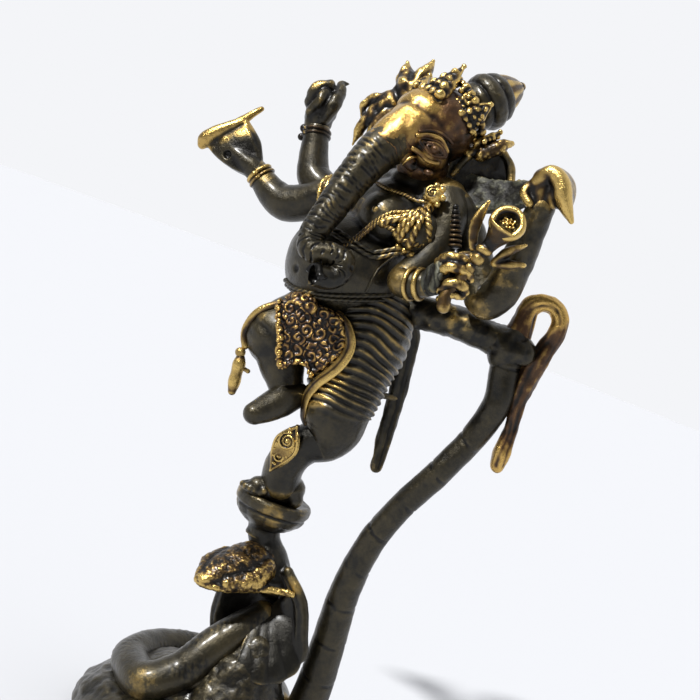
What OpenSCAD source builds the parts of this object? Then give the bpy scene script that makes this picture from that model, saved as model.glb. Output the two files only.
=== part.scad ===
// Dancing elephant-headed deity on a rearing cobra: a lost-wax cast bronze figurine.
// Origin at the centre of the base's underside, +Z up. The figure faces -Y, so its left hand is at +X.
// Every node is one section of the wax model. A limb is a chain of rounded links between stations
// [x, y, z, radius], and each section is cut by its neighbours, so sections meet face to face.

/* [Base] */
// Diameter of the rocky base at the bottom
base_d = 80; // [78:1:84]
// Height of the rocky base under the coil
base_h = 19; // [18:0.5:20]
// Height of the rock that carries the hood
rock_top = 40; // [38:0.5:41]

/* [Snake] */
// Thickness of the snake's coil on the base
coil_d = 12; // [11:0.5:13]
// Thickness of the rising tail, relative to the cast one
tail_k = 1; // [0.9:0.05:1.1]
// Thickness of the cobra's hood at its edge
hood_edge_d = 3.6; // [3:0.2:4.4]

/* [Lotus cup] */
// Diameter of the cup's rim
cup_d = 25; // [24:0.5:27]
// Height of the cup's rim above the table
cup_top = 88; // [87.5:0.5:88.5]

/* [Figure] */
// Diameter of the belly
belly_d = 40; // [38:0.5:42]
// Diameter of the head, without its trunk and ears
head_d = 25; // [24:0.5:27]
// Thickness of the arms and legs, relative to the cast ones
limb_k = 1; // [0.95:0.05:1.1]
// Thickness of the trunk, relative to the cast one
trunk_k = 1; // [0.95:0.05:1.1]

/* [Ornaments] */
// Diameter of the beads in the necklace and the crown
bead_d = 3; // [2.6:0.1:3.4]
// Thickness of sashes and cloth ends
cloth_t = 2.6; // [2.2:0.1:3]
// Thickness of the ears' edge
ear_t = 3; // [2.6:0.1:3.4]

/* [Hidden] */

LINK = 10;      // facets round a limb's link
FINE = 8;       // facets round a thin link
BEAD = 6;       // facets round a bead
ROUND = 72;     // facets round the turned base and cup
BRONZE = "#3a352b";
BRASS = "#b8923f";
COPPER = "#6b4a2e";
VERDIGRIS = "#5b665a";

bead_r = bead_d / 2;
cloth_r = cloth_t / 2;
ear_r = ear_t / 2;

// Snake: a coil on the base, the rising neck, and the tail that climbs behind the figure
coil_r = 25;
coil_z = base_h + 1;
function coil_arc(from, to, r) = [for (k = [0 : 4])
    let (a = from + (to - from) * k / 4) [coil_r * cos(a), coil_r * sin(a) - 1, coil_z + sin(a), r]];
coil_back_path = coil_arc(40, 146, coil_d / 2);
coil_front_path = coil_arc(152, 252, coil_d / 2 + 0.3);
neck_path = [[-5, -24, 20, 6.4], [2, -17, 27, 6.4], [5, -12, 35, 6.2], [8, -5, 43, 6], [11, 1, 51, 5.4]];
hood_left = [[-1, -2, 66, 2.6], [-5, -2, 58, 1.8], [-6, -1, 48, 1.8], [-5, 0, 39, 1.8]];
hood_right = [[15, 0, 68, 2.6], [24, 1, 61, 1.8], [28, 1, 51, 1.8], [24, 1, 42, 1.8]];
hood_spine = [[4, 3, 70, 4], [9, 7, 61, 3.4], [12, 8, 51, 3.4], [13, 8, 41, 3.4]];
tail_path = [[27, 17, 14, 6.5], [28, 19, 34, 6], [28, 17, 48, 5.6], [29, 14, 68, 5], [32, 13, 86, 4.5],
    [37, 14, 101, 4.2], [44, 16, 116, 4.2], [49, 19, 130, 4.2], [52, 20, 143, 4.4], [50, 20, 157, 5]];

// Legs
foot_path = [[4, 2, 92, 5.5], [3, -5, 91, 4.5], [2, -11, 90, 3.4]];
shin_path = [[14, -6.6, 113, 7], [7, -8.6, 105.6, 6.4], [3.8, -5.4, 95, 6]];
thigh_path = [[11, -2, 151, 13.6], [13, -4, 142, 13.4], [14.2, -6, 130.5, 11.8], [15.4, -6.2, 118.5, 9.6]];
raised_thigh_path = [[-3, -5, 146, 12], [-6, -12, 143, 11.5], [-8.8, -18.2, 138, 9.6]];
raised_shin_path = [[-6.5, -18, 135.5, 8], [-3, -17.4, 130, 7], [1, -16.4, 124.4, 5.4]];
raised_foot_path = [[4.4, -16, 122.4, 4.8], [2.8, -22, 119, 4.8], [1.6, -28, 115, 3.6]];

// Body
belly_at = [-1, -6, 165];
hips_path = [[-5, -2, 151, 14], [7, 0, 151, 15]];
chest_path = [[-5, 1, 190, 9], [7, -3, 186, 15], [20, -1, 192, 9]];
breasts = [[7, -12, 185, 6.5], [18, -11, 184, 6]];

// Loose end of the waist cloth behind the standing thigh: [x, y, z, half width]
cloth_end_path = [[17, 9, 156, 2], [20, 14, 144, 3], [20.5, 14, 131, 2.6], [22, 15, 118, 2.2], [23, 16, 108, 1]];

// Arms, from the shoulder to the wrist
front_left_path = [[21, -1, 195, 6.6], [27, -4.6, 184, 5.3], [24, -10.6, 170, 4.9], [31, -12.2, 170, 4.1]];
front_left_hand_path = [[33.6, -12, 171.4, 4.2], [37.6, -12, 174.4, 4.6], [43, -11, 178.4, 3.2]];
rear_left_upper_path = [[23, 4, 195, 6], [33, 7, 184, 5], [41, 7, 173, 5.8]];
rear_left_fore_path = [[43, 7, 172, 5.4], [47, 6, 185, 5], [50, 4, 203, 4]];
rear_left_hand_path = [[50, 4, 207, 4.6], [52, 3, 213, 4], [57, 5, 208, 3.2], [61, 7, 203, 1.2]];
low_right_upper_path = [[-6, 2, 190, 6], [-22, 1, 186, 6], [-37, -2, 177, 6]];
low_right_fore_path = [[-39, -2, 177, 5.6], [-46, -4, 180, 4.8], [-51, -6, 184, 3.8]];
low_right_hand_path = [[-54, -7, 186, 4.6], [-61, -9, 188, 6.4], [-69, -12, 187, 2.6]];
low_right_finger_path = [[-63, -8, 192, 3.4], [-63, -7, 199, 2.4], [-61, -4, 204, 1]];
high_right_upper_path = [[-7, 7, 191, 5], [-20, 6, 188, 5.6], [-32, 6, 187, 5.6]];
high_right_fore_path = [[-34, 6, 188, 5.6], [-39, 6, 193, 5.2], [-42, 7, 203, 4.4]];
high_right_hand_path = [[-43, 7, 206, 5], [-46, 7, 213, 5.4], [-42, 10, 214, 4.6], [-42, 11, 222, 1.4]];

// Head
head_path = [[8, 0, 217, head_d / 2], [7, -5, 213, head_d / 2 - 2], [10, -3, 206, 9]];
trunk_path = [[6, -12, 212, 8.2], [4, -18, 204, 6.6], [2, -24, 192, 5.4], [1.8, -28, 182, 4.7],
    [1.4, -31, 175, 4.2], [3, -32.6, 168.6, 3.7], [6, -32, 168.2, 3.5], [8.6, -30.4, 169.6, 3.4],
    [11, -28.4, 168.6, 3.4], [10.8, -29.4, 164.8, 3.3], [8.2, -32.4, 161.8, 3]];
left_ear_rim = [[19, 3, 211], [25, 7, 215], [30, 11, 213.5], [32, 12, 208], [31, 10.6, 201.5], [25, 7, 196.5]];
right_ear_rim = [[-3, 0, 212], [-9, 2, 214], [-14.5, 3, 212], [-17.5, 2, 206], [-16.5, 0.5, 200], [-11, 0, 197]];
bun_path = [[13, 8, 228, 9.5], [15, 12, 231, 8.5]];
finial_path = [[16, 15, 234, 4.4], [18, 19.5, 238.5, 1]];

// A link of a limb: a small faceted ball at a station
module ball(s, facets = LINK) translate([s[0], s[1], s[2]]) sphere(r = s[3], $fn = facets);

// A limb: rounded links hulled from each station to the next, with the radii scaled by k
module limb(path, k = 1, facets = LINK)
    for (i = [0 : len(path) - 2])
        hull() {
            ball([path[i][0], path[i][1], path[i][2], path[i][3] * k], facets);
            ball([path[i + 1][0], path[i + 1][1], path[i + 1][2], path[i + 1][3] * k], facets);
        }

// A thin strap through bare points, all of one radius
module strap(points, r, facets = BEAD) limb([for (p = points) [p[0], p[1], p[2], r]], 1, facets);

// A flap: a fan of thin hulls from a root point to each stretch of the rim
module flap(root, rim, r)
    for (i = [0 : len(rim) - 2])
        hull() {
            ball([root[0], root[1], root[2], r * 1.5], BEAD);
            ball([rim[i][0], rim[i][1], rim[i][2], r], BEAD);
            ball([rim[i + 1][0], rim[i + 1][1], rim[i + 1][2], r], BEAD);
        }

// A ring of links round an axis from a to b, of radius ring_r
module ring(a, b, ring_r, r, sides = 10)
    let (v = b - a, yaw = atan2(v[1], v[0]), pitch = acos(v[2] / norm(v)))
        translate((a + b) / 2) rotate([0, pitch, yaw])
            rotate_extrude($fn = sides) translate([ring_r, 0]) circle(r = r, $fn = BEAD);

// Bare forms, before they are cut by their neighbours
module base_form() {
    rotate_extrude($fn = ROUND) polygon([[0, 0], [base_d / 2, 0], [base_d / 2, 4], [base_d / 2 - 2, 9],
        [base_d / 2 - 8, base_h - 4], [base_d / 2 - 18, base_h], [0, base_h]]);
    translate([12, 0, base_h - 1]) cylinder(r1 = 20, r2 = 11, h = rock_top - base_h + 1, $fn = 36);
}
module cup_form()
    rotate_extrude($fn = ROUND) polygon([[0, cup_top - 14], [6, cup_top - 14], [5.5, cup_top - 11],
        [9, cup_top - 8], [cup_d / 2 - 1, cup_top - 5], [cup_d / 2 - 1.5, cup_top - 4], [cup_d / 2, cup_top - 3],
        [cup_d / 2, cup_top - 1], [cup_d / 2 - 1, cup_top], [0, cup_top]]);
module coil_front_form() limb(coil_front_path);
module coil_back_form() limb(coil_back_path);
module neck_form() limb(neck_path);
module hood_form() {
    for (side = [hood_left, hood_right], i = [0 : len(side) - 2])
        hull() {
            ball(hood_spine[i], FINE);
            ball(hood_spine[i + 1], FINE);
            ball([side[i][0], side[i][1], side[i][2], side[i][3] * hood_edge_d / 3.6], FINE);
            ball([side[i + 1][0], side[i + 1][1], side[i + 1][2], side[i + 1][3] * hood_edge_d / 3.6], FINE);
        }
    limb([[2, 1, 70, 5], [1, 0, 74, 5.4]], 1, FINE);
}
module cobra_head_form() {
    hull() {
        ball([3, -2, 69, 5.6]);
        ball([-2, -12, 65, 4.6]);
        ball([8, -7, 64, 4.6]);
    }
    hull() {
        ball([-2, -12, 65, 4.6]);
        ball([8, -7, 64, 4.6]);
        ball([-1, -20, 59, 2.6]);
        ball([8, -14, 59, 2.4]);
    }
}
module tail_form() limb(tail_path, tail_k);
module foot_form() limb(foot_path, limb_k);
module shin_form() limb(shin_path, limb_k);
module thigh_form() limb(thigh_path, limb_k);
module raised_thigh_form() limb(raised_thigh_path, limb_k);
module raised_shin_form() limb(raised_shin_path, limb_k);
module raised_foot_form() limb(raised_foot_path, limb_k);
module belly_form() translate(belly_at) scale([1, 1, 0.95]) sphere(d = belly_d, $fn = 24);
module hips_form() limb(hips_path);
module chest_form() {
    limb(chest_path);
    for (b = breasts) ball(b);
}
module head_form() limb(head_path);
module trunk_form() limb(trunk_path, trunk_k);
module front_left_form() limb(front_left_path, limb_k);
module front_left_hand_form() limb(front_left_hand_path, limb_k);
module rear_left_upper_form() limb(rear_left_upper_path, limb_k);
module rear_left_fore_form() limb(rear_left_fore_path, limb_k);
module rear_left_hand_form() limb(rear_left_hand_path, limb_k);
module low_right_upper_form() limb(low_right_upper_path, limb_k);
module low_right_fore_form() limb(low_right_fore_path, limb_k);
module high_right_upper_form() limb(high_right_upper_path, limb_k);
module high_right_fore_form() limb(high_right_fore_path, limb_k);
module high_right_hand_form() limb(high_right_hand_path, limb_k);
module left_ear_form() flap([17, 3, 203], left_ear_rim, ear_r);
module right_ear_form() flap([-3, 0, 208], right_ear_rim, ear_r);
module bun_form() limb(bun_path);
module torso_forms() {
    belly_form();
    hips_form();
    chest_form();
}
module leg_forms() {
    thigh_form();
    raised_thigh_form();
}

// Base and snake
module base() color(BRONZE) base_form();
module coil_front() color(BRONZE) difference() {
    coil_front_form();
    base_form();
}
module coil_back() color(BRONZE) difference() {
    coil_back_form();
    coil_front_form();
    base_form();
}
module cobra_neck() color(BRONZE) difference() {
    neck_form();
    coil_front_form();
    base_form();
}
module cobra_hood() color(BRONZE) difference() {
    hood_form();
    neck_form();
    cup_form();
    base_form();
}
module cobra_head() color(BRASS) difference() {
    cobra_head_form();
    hood_form();
    neck_form();
    cup_form();
}
module tail() color(BRONZE) difference() {
    tail_form();
    coil_back_form();
    base_form();
}
module lotus_cup() color(BRONZE) cup_form();

// Legs
module standing_foot() color(BRONZE) difference() {
    foot_form();
    shin_form();
    cup_form();
}
module standing_shin() color(BRONZE) difference() {
    shin_form();
    thigh_form();
    cup_form();
}
module standing_thigh() color(BRONZE) difference() {
    thigh_form();
    hips_form();
    belly_form();
}
module raised_thigh() color(BRONZE) difference() {
    raised_thigh_form();
    thigh_form();
    hips_form();
    belly_form();
}
module raised_shin() color(BRONZE) difference() {
    raised_shin_form();
    leg_forms();
}
module raised_foot() color(BRONZE) difference() {
    raised_foot_form();
    raised_shin_form();
    leg_forms();
}

// Body
module belly() color(BRONZE) belly_form();
module hips() color(BRONZE) difference() {
    hips_form();
    belly_form();
}
module chest() color(BRONZE) difference() {
    chest_form();
    belly_form();
}

// Cloth and belts
module waist_belt() color(BRASS) difference() {
    ring([-2, -7, 153], [2, -4, 159], 19, 1.8, 16);
    torso_forms();
    leg_forms();
}
module loincloth() color(BRASS) difference() {
    hull() {
        ball([-2, -23, 148.5, 4], FINE);
        ball([7, -19, 150, 4], FINE);
        ball([4.5, -23, 134, 2.8], FINE);
    }
    torso_forms();
    leg_forms();
    raised_shin_form();
}
module sash_left_form()
    limb([[8, -17, 152, 2.4], [15, -16, 149.5, 2.6], [19, -15.4, 141, 2.8], [15.6, -17.4, 134, 2.8],
        [10.6, -18, 128, 2.8], [8.6, -16.4, 120, 3], [8.4, -15, 112, 3.4], [6, -15, 102, 2.4]], 1, FINE);
module sash_left() color(BRASS) difference() {
    sash_left_form();
    torso_forms();
    leg_forms();
    shin_form();
}
module sash_right_form()
    limb([[-5, -20, 149.5, 2.4], [-11, -24, 145.5, 2.4], [-16, -25, 137, 2.4], [-14.5, -25.4, 129, 2.2],
        [-12.6, -24.8, 118, 2.2]], 1, FINE);
module sash_right() color(BRASS) difference() {
    sash_right_form();
    torso_forms();
    leg_forms();
    raised_shin_form();
}
module cloth_end_form()
    for (i = [0 : len(cloth_end_path) - 2])
        hull()
            for (s = [cloth_end_path[i], cloth_end_path[i + 1]], side = [-1, 1])
                ball([s[0] + side * s[3] * 0.4, s[1] + side * s[3], s[2], cloth_r], BEAD);
module cloth_end() color(BRONZE) difference() {
    cloth_end_form();
    hips_form();
    thigh_form();
}
module scarf_arm_form() limb([[15, 5, 158, 5], [23, 6, 160, 5], [31, 10, 161, 5], [41, 14, 162, 5], [48, 18, 162, 5]]);
module scarf_arm() color(BRONZE) difference() {
    scarf_arm_form();
    tail_form();
    hips_form();
    belly_form();
    thigh_form();
}
module scarf_curl() color(BRASS) difference() {
    limb([[49.6, 19.2, 165, 4.4], [50.6, 19.6, 173, 3.4], [53.4, 21, 177.2, 2.8], [57.2, 22.4, 177.2, 2.7],
        [60, 23.4, 174, 2.7], [60.2, 23.6, 169, 2.8], [57.8, 23, 159, 3.4], [57, 22.6, 150, 3],
        [58, 23.4, 137, 2.3], [58.2, 23.8, 125, 2.4]]);
    scarf_arm_form();
    tail_form();
}

// Necklaces, bands and the rough web of metal behind the left shoulder
module necklace() color(BRASS) difference() {
    for (row = [0 : 2], t = [0 : 7])
        translate([4 + 17 * t / 7 + row, -17.5 + 9 * pow(t / 7, 2), 197 - 15 * sin(150 * t / 7) - 4 * row])
            sphere(r = bead_r, $fn = BEAD);
    strap([[4, -14, 197], [12, -17, 196], [21, -10, 197]], 3.2);
    chest_form();
    belly_form();
    head_form();
}
module chest_band() color(BRASS) difference() {
    limb([[3, -18, 177, 2], [14, -17, 176, 2], [22, -12, 177, 2], [26, -4, 179, 2], [26, 4, 182, 2],
        [20, 10, 184, 2]], 1, FINE);
    chest_form();
    belly_form();
    front_left_form();
}
module shoulder_web() color(VERDIGRIS) difference() {
    flap([14, 8, 198], [[22, 9, 193], [33, 10, 199], [43, 8, 205], [38, 10, 211], [26, 9, 208], [14, 7, 205]], 2.2);
    chest_form();
    head_form();
    left_ear_form();
    rear_left_upper_form();
    rear_left_fore_form();
    front_left_form();
}

// Arms
module front_left_arm() color(BRONZE) difference() {
    front_left_form();
    chest_form();
    belly_form();
}
module front_left_hand() color(VERDIGRIS) difference() {
    front_left_hand_form();
    front_left_form();
}
module flower() color(BRASS) difference() {
    union() {
        limb([[40, -13, 166, 2.2], [41, -13, 174, 2.4], [45, -12, 182, 2.8], [46, -11, 188, 3.6], [49, -11, 194, 5]], 1, FINE);
        limb([[45, -10, 188, 2], [41, -10, 198, 2], [43, -9, 204, 1.2]], 1, BEAD);
        limb([[48, -10, 186, 2], [54, -8, 185, 2], [58, -7, 181, 1.2]], 1, BEAD);
    }
    front_left_hand_form();
}
module rear_left_upper_arm() color(BRONZE) difference() {
    rear_left_upper_form();
    chest_form();
    front_left_form();
}
module rear_left_forearm() color(BRONZE) difference() {
    rear_left_fore_form();
    rear_left_upper_form();
}
module rear_left_hand() color(BRASS) difference() {
    union() {
        rear_left_hand_form();
        limb([[48, 3, 208, 2.4], [44, 1, 207, 2], [42, 0, 203, 1.6]], limb_k, FINE);
    }
    rear_left_fore_form();
}
module low_right_upper_arm() color(BRONZE) difference() {
    low_right_upper_form();
    chest_form();
    belly_form();
}
module low_right_forearm() color(BRONZE) difference() {
    low_right_fore_form();
    low_right_upper_form();
}
module low_right_hand() color(BRASS) difference() {
    union() {
        limb(low_right_hand_path, limb_k);
        limb(low_right_finger_path, limb_k, FINE);
    }
    low_right_fore_form();
}
module high_right_upper_arm() color(BRONZE) difference() {
    high_right_upper_form();
    low_right_upper_form();
    chest_form();
}
module high_right_forearm() color(BRONZE) difference() {
    high_right_fore_form();
    high_right_upper_form();
    low_right_upper_form();
}
module high_right_hand() color(BRONZE) difference() {
    high_right_hand_form();
    high_right_fore_form();
}

// Rings worn on the arms: [start of the axis, end of the axis, ring radius]
armlet_spots = [[[-17, 1.5, 187.5], [-22, 1, 186], 6.4], [[21, -7, 188], [22, -8, 185], 5.8]];
bracelet_spots = [[[-46, -4, 180], [-51, -6, 184], 4.6], [[-40, 6, 196], [-42, 7, 203], 5],
    [[25, -13, 170], [30, -14, 169], 5], [[49, 5, 197], [50, 4, 203], 4.6]];
module armlets() color(BRASS) difference() {
    for (s = armlet_spots) ring(s[0], s[1], s[2], 1.6);
    low_right_upper_form();
    high_right_upper_form();
    chest_form();
    belly_form();
    front_left_form();
    necklace();
}
module bracelets() color(BRASS) difference() {
    for (s = bracelet_spots) ring(s[0], s[1], s[2], 1.3);
    low_right_fore_form();
    high_right_fore_form();
    front_left_form();
    front_left_hand_form();
    rear_left_fore_form();
    belly_form();
}

// Head
module head() color(COPPER) difference() {
    head_form();
    chest_form();
}
module trunk() color(BRONZE) difference() {
    trunk_form();
    head_form();
    chest_form();
    belly_form();
}
module tusks() color(BRASS) difference() {
    limb([[13, -12, 203, 2], [12, -17, 202, 1.8], [11, -20, 204, 1]], 1, FINE);
    limb([[0, -13, 204, 2], [-4, -17, 203, 1.8], [-7, -20, 205, 1]], 1, FINE);
    trunk_form();
    head_form();
    chest_form();
}
module ear_left() color(COPPER) difference() {
    left_ear_form();
    head_form();
    chest_form();
}
module ear_right() color(COPPER) difference() {
    right_ear_form();
    head_form();
    chest_form();
}
module ear_ornament_left() color(BRASS) difference() {
    limb([[27, 5, 213, 2.4], [32, 7, 217, 2.4], [36, 9, 216, 1.4]], 1, FINE);
    left_ear_form();
    head_form();
}
module ear_ornament_right() color(BRASS) difference() {
    union() {
        limb([[-6.6, 0, 221, 4], [-9.6, 0.4, 228, 2.6], [-12.6, 0.8, 232.6, 1.2]], 1, FINE);
        limb([[-5, 0, 222, 4], [-5.8, 1.2, 229, 3], [-5.4, 2.6, 235, 1.2]], 1, FINE);
        limb([[-8, -2.4, 220, 3.6], [-13.4, -4, 215.6, 2.8], [-15.6, -5.4, 210, 2.2], [-16.4, -6.2, 203.6, 1.4]],
            1, FINE);
    }
    right_ear_form();
    head_form();
}
module crown_band() color(BRASS) difference() {
    for (turn = [0 : 30 : 330])
        translate([11, 4, 224]) rotate([-34, 12, 0]) translate([11 * cos(turn), 11 * sin(turn), 0])
            sphere(r = bead_r * 1.1, $fn = BEAD);
    head_form();
    bun_form();
    leaf_forms();
}
module leaf_forms()
    for (leaf = [[10, -4, 227, 0], [19, -1, 225, 3], [2, 0, 228, -3]])
        hull() {
            ball([leaf[0], leaf[1], leaf[2], 2.8], BEAD);
            ball([leaf[0] + leaf[3], leaf[1] + 1, leaf[2] + 8, 0.8], BEAD);
        }
module crown_leaves() color(BRASS) difference() {
    leaf_forms();
    head_form();
    bun_form();
}
module hair_bun() color(BRONZE) difference() {
    bun_form();
    head_form();
}
module crown_finial() color(BRASS) difference() {
    limb(finial_path, 1, FINE);
    bun_form();
}

base();
coil_front();
coil_back();
cobra_neck();
cobra_hood();
cobra_head();
tail();
lotus_cup();
standing_foot();
standing_shin();
standing_thigh();
raised_thigh();
raised_shin();
raised_foot();
hips();
belly();
chest();
waist_belt();
loincloth();
sash_left();
sash_right();
cloth_end();
scarf_arm();
scarf_curl();
necklace();
chest_band();
shoulder_web();
front_left_arm();
front_left_hand();
flower();
rear_left_upper_arm();
rear_left_forearm();
rear_left_hand();
low_right_upper_arm();
low_right_forearm();
low_right_hand();
high_right_upper_arm();
high_right_forearm();
high_right_hand();
armlets();
bracelets();
head();
trunk();
tusks();
ear_left();
ear_right();
ear_ornament_left();
ear_ornament_right();
crown_band();
crown_leaves();
hair_bun();
crown_finial();
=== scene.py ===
"""Dancing elephant-headed deity on a rearing cobra: a cast bronze figurine, modelled round its frame.

Every piece is shaped in millimetres in the frame's own coordinates. It is then moved with the frame node
that it is anchored to, turned to metres, and given the patina that handling has left on it."""

import math

import bmesh
import bpy
import numpy as np
from bpy.props import FloatProperty, FloatVectorProperty, PointerProperty
from mathutils import Matrix, Vector, noise
from mathutils.bvhtree import BVHTree


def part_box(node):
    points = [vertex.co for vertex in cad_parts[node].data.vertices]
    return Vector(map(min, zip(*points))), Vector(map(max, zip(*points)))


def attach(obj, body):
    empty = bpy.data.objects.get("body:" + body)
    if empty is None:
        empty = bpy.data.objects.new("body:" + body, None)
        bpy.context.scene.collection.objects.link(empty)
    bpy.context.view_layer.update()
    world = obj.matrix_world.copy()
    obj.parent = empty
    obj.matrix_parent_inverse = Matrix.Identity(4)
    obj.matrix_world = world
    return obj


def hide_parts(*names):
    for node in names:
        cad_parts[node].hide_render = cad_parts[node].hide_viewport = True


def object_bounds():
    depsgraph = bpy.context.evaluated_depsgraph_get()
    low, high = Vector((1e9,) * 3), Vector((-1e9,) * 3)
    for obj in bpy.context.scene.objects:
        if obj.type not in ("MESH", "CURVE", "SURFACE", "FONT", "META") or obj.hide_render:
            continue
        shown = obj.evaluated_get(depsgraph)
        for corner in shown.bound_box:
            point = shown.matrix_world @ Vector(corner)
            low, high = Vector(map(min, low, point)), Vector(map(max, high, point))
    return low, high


bl_info = {
    "name": "Cast bronze dancing deity",
    "version": (1, 0, 0),
    "blender": (4, 5, 0),
    "location": "View3D > Sidebar > Deity",
    "description": "Builds a patinated bronze figurine round its frame, piece by piece",
    "category": "Add Mesh",
}

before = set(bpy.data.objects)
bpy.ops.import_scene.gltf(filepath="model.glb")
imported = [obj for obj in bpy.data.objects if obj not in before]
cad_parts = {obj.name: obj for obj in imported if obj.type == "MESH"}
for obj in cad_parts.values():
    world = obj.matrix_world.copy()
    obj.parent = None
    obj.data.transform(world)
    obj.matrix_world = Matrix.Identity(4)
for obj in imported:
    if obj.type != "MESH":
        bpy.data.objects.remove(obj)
CAD_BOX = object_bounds()
MM = 0.001
# Where the anchor nodes' middles stand, in mm: pieces follow their anchor if the frame changes
ANCHORS = {"belly": Vector((-1, -6, 165)), "lotus_cup": Vector((0, 0, 81)), "base": Vector((0, 0, 20))}
# The plane that halves the head, for what it carries on both sides
HEAD_MIDDLE = Vector((8, -1, 215))
HEAD_SIDE = Vector((0.99, -0.12, 0)).normalized()
COIL_RADIUS = 25
THIGH_PLEATS = 31
TRUNK_WRINKLES = 44
TAIL_BANDS = 12
CUP_PETALS = 10
FLOWER_SEEDS = 19
CROWN_BEADS = 26
CROWN_RADIUS = 10.6
CROWN_MIDDLE = Vector((12, 4.4, 223.6))
# How far round a point its wear is judged, and the step in height that wears it fully, in mm
WEAR_REACH = 1.3
WEAR_STEP = 0.7
# Where the camera aims: metres to the side and back, and a share of the frame's middle height
AIM_ASIDE = (0.0045, 0.0032)
AIM_HEIGHT = 1.178
# The sun's azimuth and elevation in degrees
SUN_ANGLES = (-18, 46)
SUN_STRENGTH = 4.8
# What earlier operators leave for later ones to lay cords and cloth on
SKINS = {}


# ---------------------------------------------------------------- shapes

def smooth_line(points, steps):
    """Rows of values along a smooth curve through the given rows."""
    rows = np.array(points, float)
    padded = np.vstack([2 * rows[0] - rows[1], rows, 2 * rows[-1] - rows[-2]])
    line = []
    for i in range(len(rows) - 1):
        a, b, c, d = padded[i:i + 4]
        for k in range(steps):
            t = k / steps
            line.append(0.5 * (2 * b + (c - a) * t + (2 * a - 5 * b + 4 * c - d) * t ** 2
                               + (3 * b - a - 3 * c + d) * t ** 3))
    line.append(rows[-1])
    return np.array(line)


def rounded_ends(line, start, end):
    """Adds the shrinking rings of a round end to a line of (x, y, z, radius) rows."""
    turns = [math.radians(a) for a in (88, 66, 44, 22)]
    head, tail = line[0], line[-1]
    back = (line[0] - line[1])[:3]
    ahead = (line[-1] - line[-2])[:3]
    back /= np.linalg.norm(back)
    ahead /= np.linalg.norm(ahead)
    first = [[*(head[:3] + back * head[3] * math.sin(a) * start), head[3] * math.cos(a)] for a in turns]
    last = [[*(tail[:3] + ahead * tail[3] * math.sin(a) * end), tail[3] * math.cos(a)]
            for a in reversed(turns)]
    return np.vstack(([first] if start else []) + [line] + ([last] if end else []))


def tube(stations, sides=24, steps=6, relief=None, flat=1.0, across=(0, 0, 1), start=1.0, end=1.0):
    """A closed limb round a smooth line through stations (x, y, z, radius), with rounded ends.

    flat thins it along `across`. relief(share along it, angle round it) adds height in mm."""
    line = rounded_ends(smooth_line(stations, steps), start, end)
    count = len(line)
    places = line[:, :3]
    ahead = np.gradient(places, axis=0)
    lengths = np.concatenate([[0], np.cumsum(np.linalg.norm(np.diff(places, axis=0), axis=1))])
    shares = lengths / lengths[-1]
    normal = Vector(across)
    frames = []
    for i in range(count):
        tangent = Vector(ahead[i]).normalized()
        normal = (normal - tangent * normal.dot(tangent)).normalized()
        frames.append((Vector(places[i]), normal.copy(), tangent.cross(normal)))
    bm = bmesh.new()
    bmesh.ops.create_cone(bm, cap_ends=True, cap_tris=False, segments=sides, radius1=1, radius2=1, depth=1)
    long_edges = [e for e in bm.edges if abs(e.verts[0].co.z - e.verts[1].co.z) > 0.5]
    bmesh.ops.subdivide_edges(bm, edges=long_edges, cuts=count - 2)
    for v in bm.verts:
        i = round((v.co.z + 0.5) * (count - 1))
        angle = math.atan2(v.co.y, v.co.x)
        place, up, side = frames[i]
        radius = line[i, 3]
        if relief and 4 <= i < count - 4:
            radius += relief(shares[i], angle)
        v.co = place + up * math.cos(angle) * radius * flat + side * math.sin(angle) * radius
    return bm


def ball(centre, radii, turn=(0, 0, 0), fineness=4):
    """An ellipsoid of the given half sizes, turned by three angles in degrees."""
    radii = (radii,) * 3 if isinstance(radii, (int, float)) else radii
    spin = Matrix.Identity(4)
    for axis, angle in zip("XYZ", turn):
        spin = Matrix.Rotation(math.radians(angle), 4, axis) @ spin
    place = Matrix.Translation(centre) @ spin @ Matrix.Diagonal((*radii, 1))
    bm = bmesh.new()
    bmesh.ops.create_icosphere(bm, subdivisions=fineness, radius=1, matrix=place)
    return bm


def lathe(profile, steps=96):
    """A solid turned round the Z axis from (radius, height) points."""
    bm = bmesh.new()
    verts = [bm.verts.new((r, 0, z)) for r, z in profile]
    edges = [bm.edges.new(pair) for pair in zip(verts, verts[1:])]
    bmesh.ops.spin(bm, geom=verts + edges, axis=(0, 0, 1), cent=(0, 0, 0), angle=math.tau, steps=steps,
                   use_merge=True)
    bmesh.ops.remove_doubles(bm, verts=bm.verts, dist=0.001)
    bmesh.ops.recalc_face_normals(bm, faces=bm.faces)
    return bm


def patch(rows, thick, steps=6):
    """A curved plate through rows of points, solidified to its thickness."""
    across = np.array([smooth_line(row, steps) for row in rows])
    grid = np.array([smooth_line(across[:, i], steps) for i in range(across.shape[1])])
    wide, deep = grid.shape[:2]
    bm = bmesh.new()
    bmesh.ops.create_grid(bm, x_segments=wide - 1, y_segments=deep - 1, size=1)
    for v in bm.verts:
        i = round((v.co.x + 1) / 2 * (wide - 1))
        j = round((v.co.y + 1) / 2 * (deep - 1))
        v.co = grid[i, j]
    bmesh.ops.recalc_face_normals(bm, faces=bm.faces)
    bmesh.ops.solidify(bm, geom=bm.faces, thickness=thick)
    bmesh.ops.recalc_face_normals(bm, faces=bm.faces)
    return bm


def joined(parts):
    """One bmesh holding copies of all the parts."""
    carrier = bpy.data.meshes.new("carrier")
    whole = bmesh.new()
    for part in parts:
        part.to_mesh(carrier)
        whole.from_mesh(carrier)
    bpy.data.meshes.remove(carrier)
    return whole


def gather(parts):
    """One bmesh in place of all the parts, which are freed."""
    whole = joined(parts)
    for part in parts:
        part.free()
    return whole


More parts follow.
